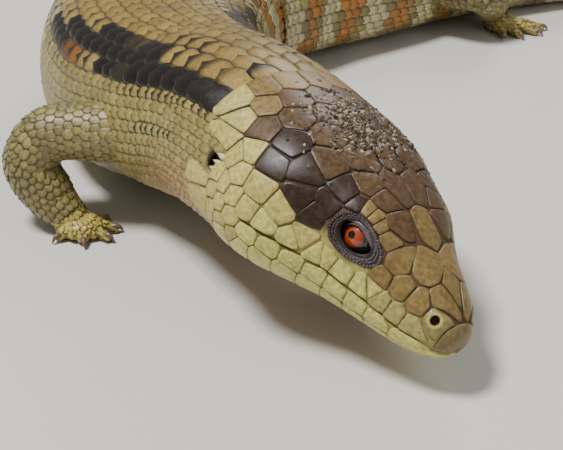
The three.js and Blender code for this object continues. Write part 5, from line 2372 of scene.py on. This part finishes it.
@dataclass
class Studio:
    """The pale floor, the soft lights and the camera at the photo's angle."""

    camera_at: tuple[float, float, float] = (-0.081, -0.365, 0.1715)
    tilt: float = 60.0
    focal_px: float = 1300.0
    frame_px: float = 563.0
    sensor_mm: float = 36.0
    room: str = "#E6EAF0"
    room_light: float = 0.34
    lights: tuple[tuple[str, tuple[float, float, float], float, float], ...] = (
        ("key", (-0.42, -0.22, 0.9), 0.24, 13.0),
        ("fill", (0.7, -0.6, 0.6), 0.8, 1.6),
        ("rim", (0.3, 0.9, 0.7), 0.5, 5.0),
    )

    def build(self) -> None:
        """Set everything up."""
        points = np.array([[-2, -2, 0], [2, -2, 0], [2, 2, 0], [-2, 2, 0]]) / MM
        floor = make_mesh("floor", points, np.array([[0, 1, 2, 3]]), NO_TRIS, FloorFinish().material())
        floor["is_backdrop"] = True
        for name, place, size, power in self.lights:
            light = bpy.data.lights.new(name, "AREA")
            light.shape = "DISK"
            light.size = size
            light.energy = power
            lamp = bpy.data.objects.new(name, light)
            lamp.location = place
            lamp.rotation_euler = (-Vector(place)).to_track_quat("-Z", "Y").to_euler()
            bpy.context.scene.collection.objects.link(lamp)
            lamp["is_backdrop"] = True
        world = bpy.data.worlds.new("soft_room")
        world.use_nodes = True
        back = world.node_tree.nodes["Background"]
        back.inputs["Color"].default_value = (*linear(self.room), 1.0)
        back.inputs["Strength"].default_value = self.room_light
        bpy.context.scene.world = world
        lens = bpy.data.cameras.new("photo_view")
        lens.sensor_width = self.sensor_mm
        lens.lens = self.focal_px / self.frame_px * self.sensor_mm
        camera = bpy.data.objects.new("photo_view", lens)
        camera.location = self.camera_at
        camera.rotation_euler = (math.radians(self.tilt), 0.0, 0.0)
        bpy.context.scene.collection.objects.link(camera)
        bpy.context.scene.camera = camera


def own(piece: Piece, replaces: tuple[str, ...] = ()) -> None:
    """Give a piece to the body, hide the parts it replaces, and report it."""
    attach(piece, BODY)
    if replaces:
        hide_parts(*replaces)
    LOG.info("%s: %d faces", piece.name, len(piece.data.polygons))


def main() -> None:
    """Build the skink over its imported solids."""
    logging.basicConfig(level=logging.INFO, format="%(name)s %(message)s")
    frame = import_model()
    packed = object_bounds()
    form = BodyForm()
    markings = Markings(form)
    shields = HeadShields(form)
    scales = HornyScale().material()
    # The head's shields are blotched more coarsely than scales, and little darker at their rims.
    plates = HornyScale(name="keratin_shields", mottle_mm=1.1, mottle=0.36, rim=0.3).material()
    # The skin between scales and in ear, nostril and mouth is matt and even.
    bare = HornyScale(name="bare_skin", roughness=0.6, rim=0.0, mottle=0.15).material()
    # Claw horn is smooth and glossy, with hardly a blotch.
    claw = HornyScale(name="claw_horn", roughness=0.3, rim=0.0, mottle=0.1, relief_mm=0.01).material()
    hide = Hide(form, markings, shields)
    skin, trees = hide.build(bare)
    legs, covered, trunk = trees[:-2], trees[-2], trees[-1]
    flesh = tuple(name for name in frame["nodes"] if not name.startswith("eye"))
    claws = Claws().build(claw)
    own(skin, flesh)
    own(claws, ())
    for piece in BodyScales(form, markings).build(scales, covered):
        own(piece, ())
    own(shields.build(plates), ())
    own(CrownFlakes(form).build(plates), ())
    for piece in LegScales(form).build(legs, trunk, scales):
        own(piece, ())
    balls, rims = Eyes(hide).build(EyeFinish().material(), plates)
    own(balls[0], ("eye_left",))
    own(balls[1], ("eye_right",))
    for rim in rims:
        own(rim, ())
    own(EarLobules(form).build(scales), ())
    Studio().build()
    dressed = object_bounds()
    {"packed": plain(packed), "dressed": plain(dressed)}


def plain(value: object) -> object:
    """Turn vectors into plain lists."""
    if isinstance(value, (int, float, str)):
        return value
    return [plain(part) for part in value]


if __name__ == "__main__":
    main()
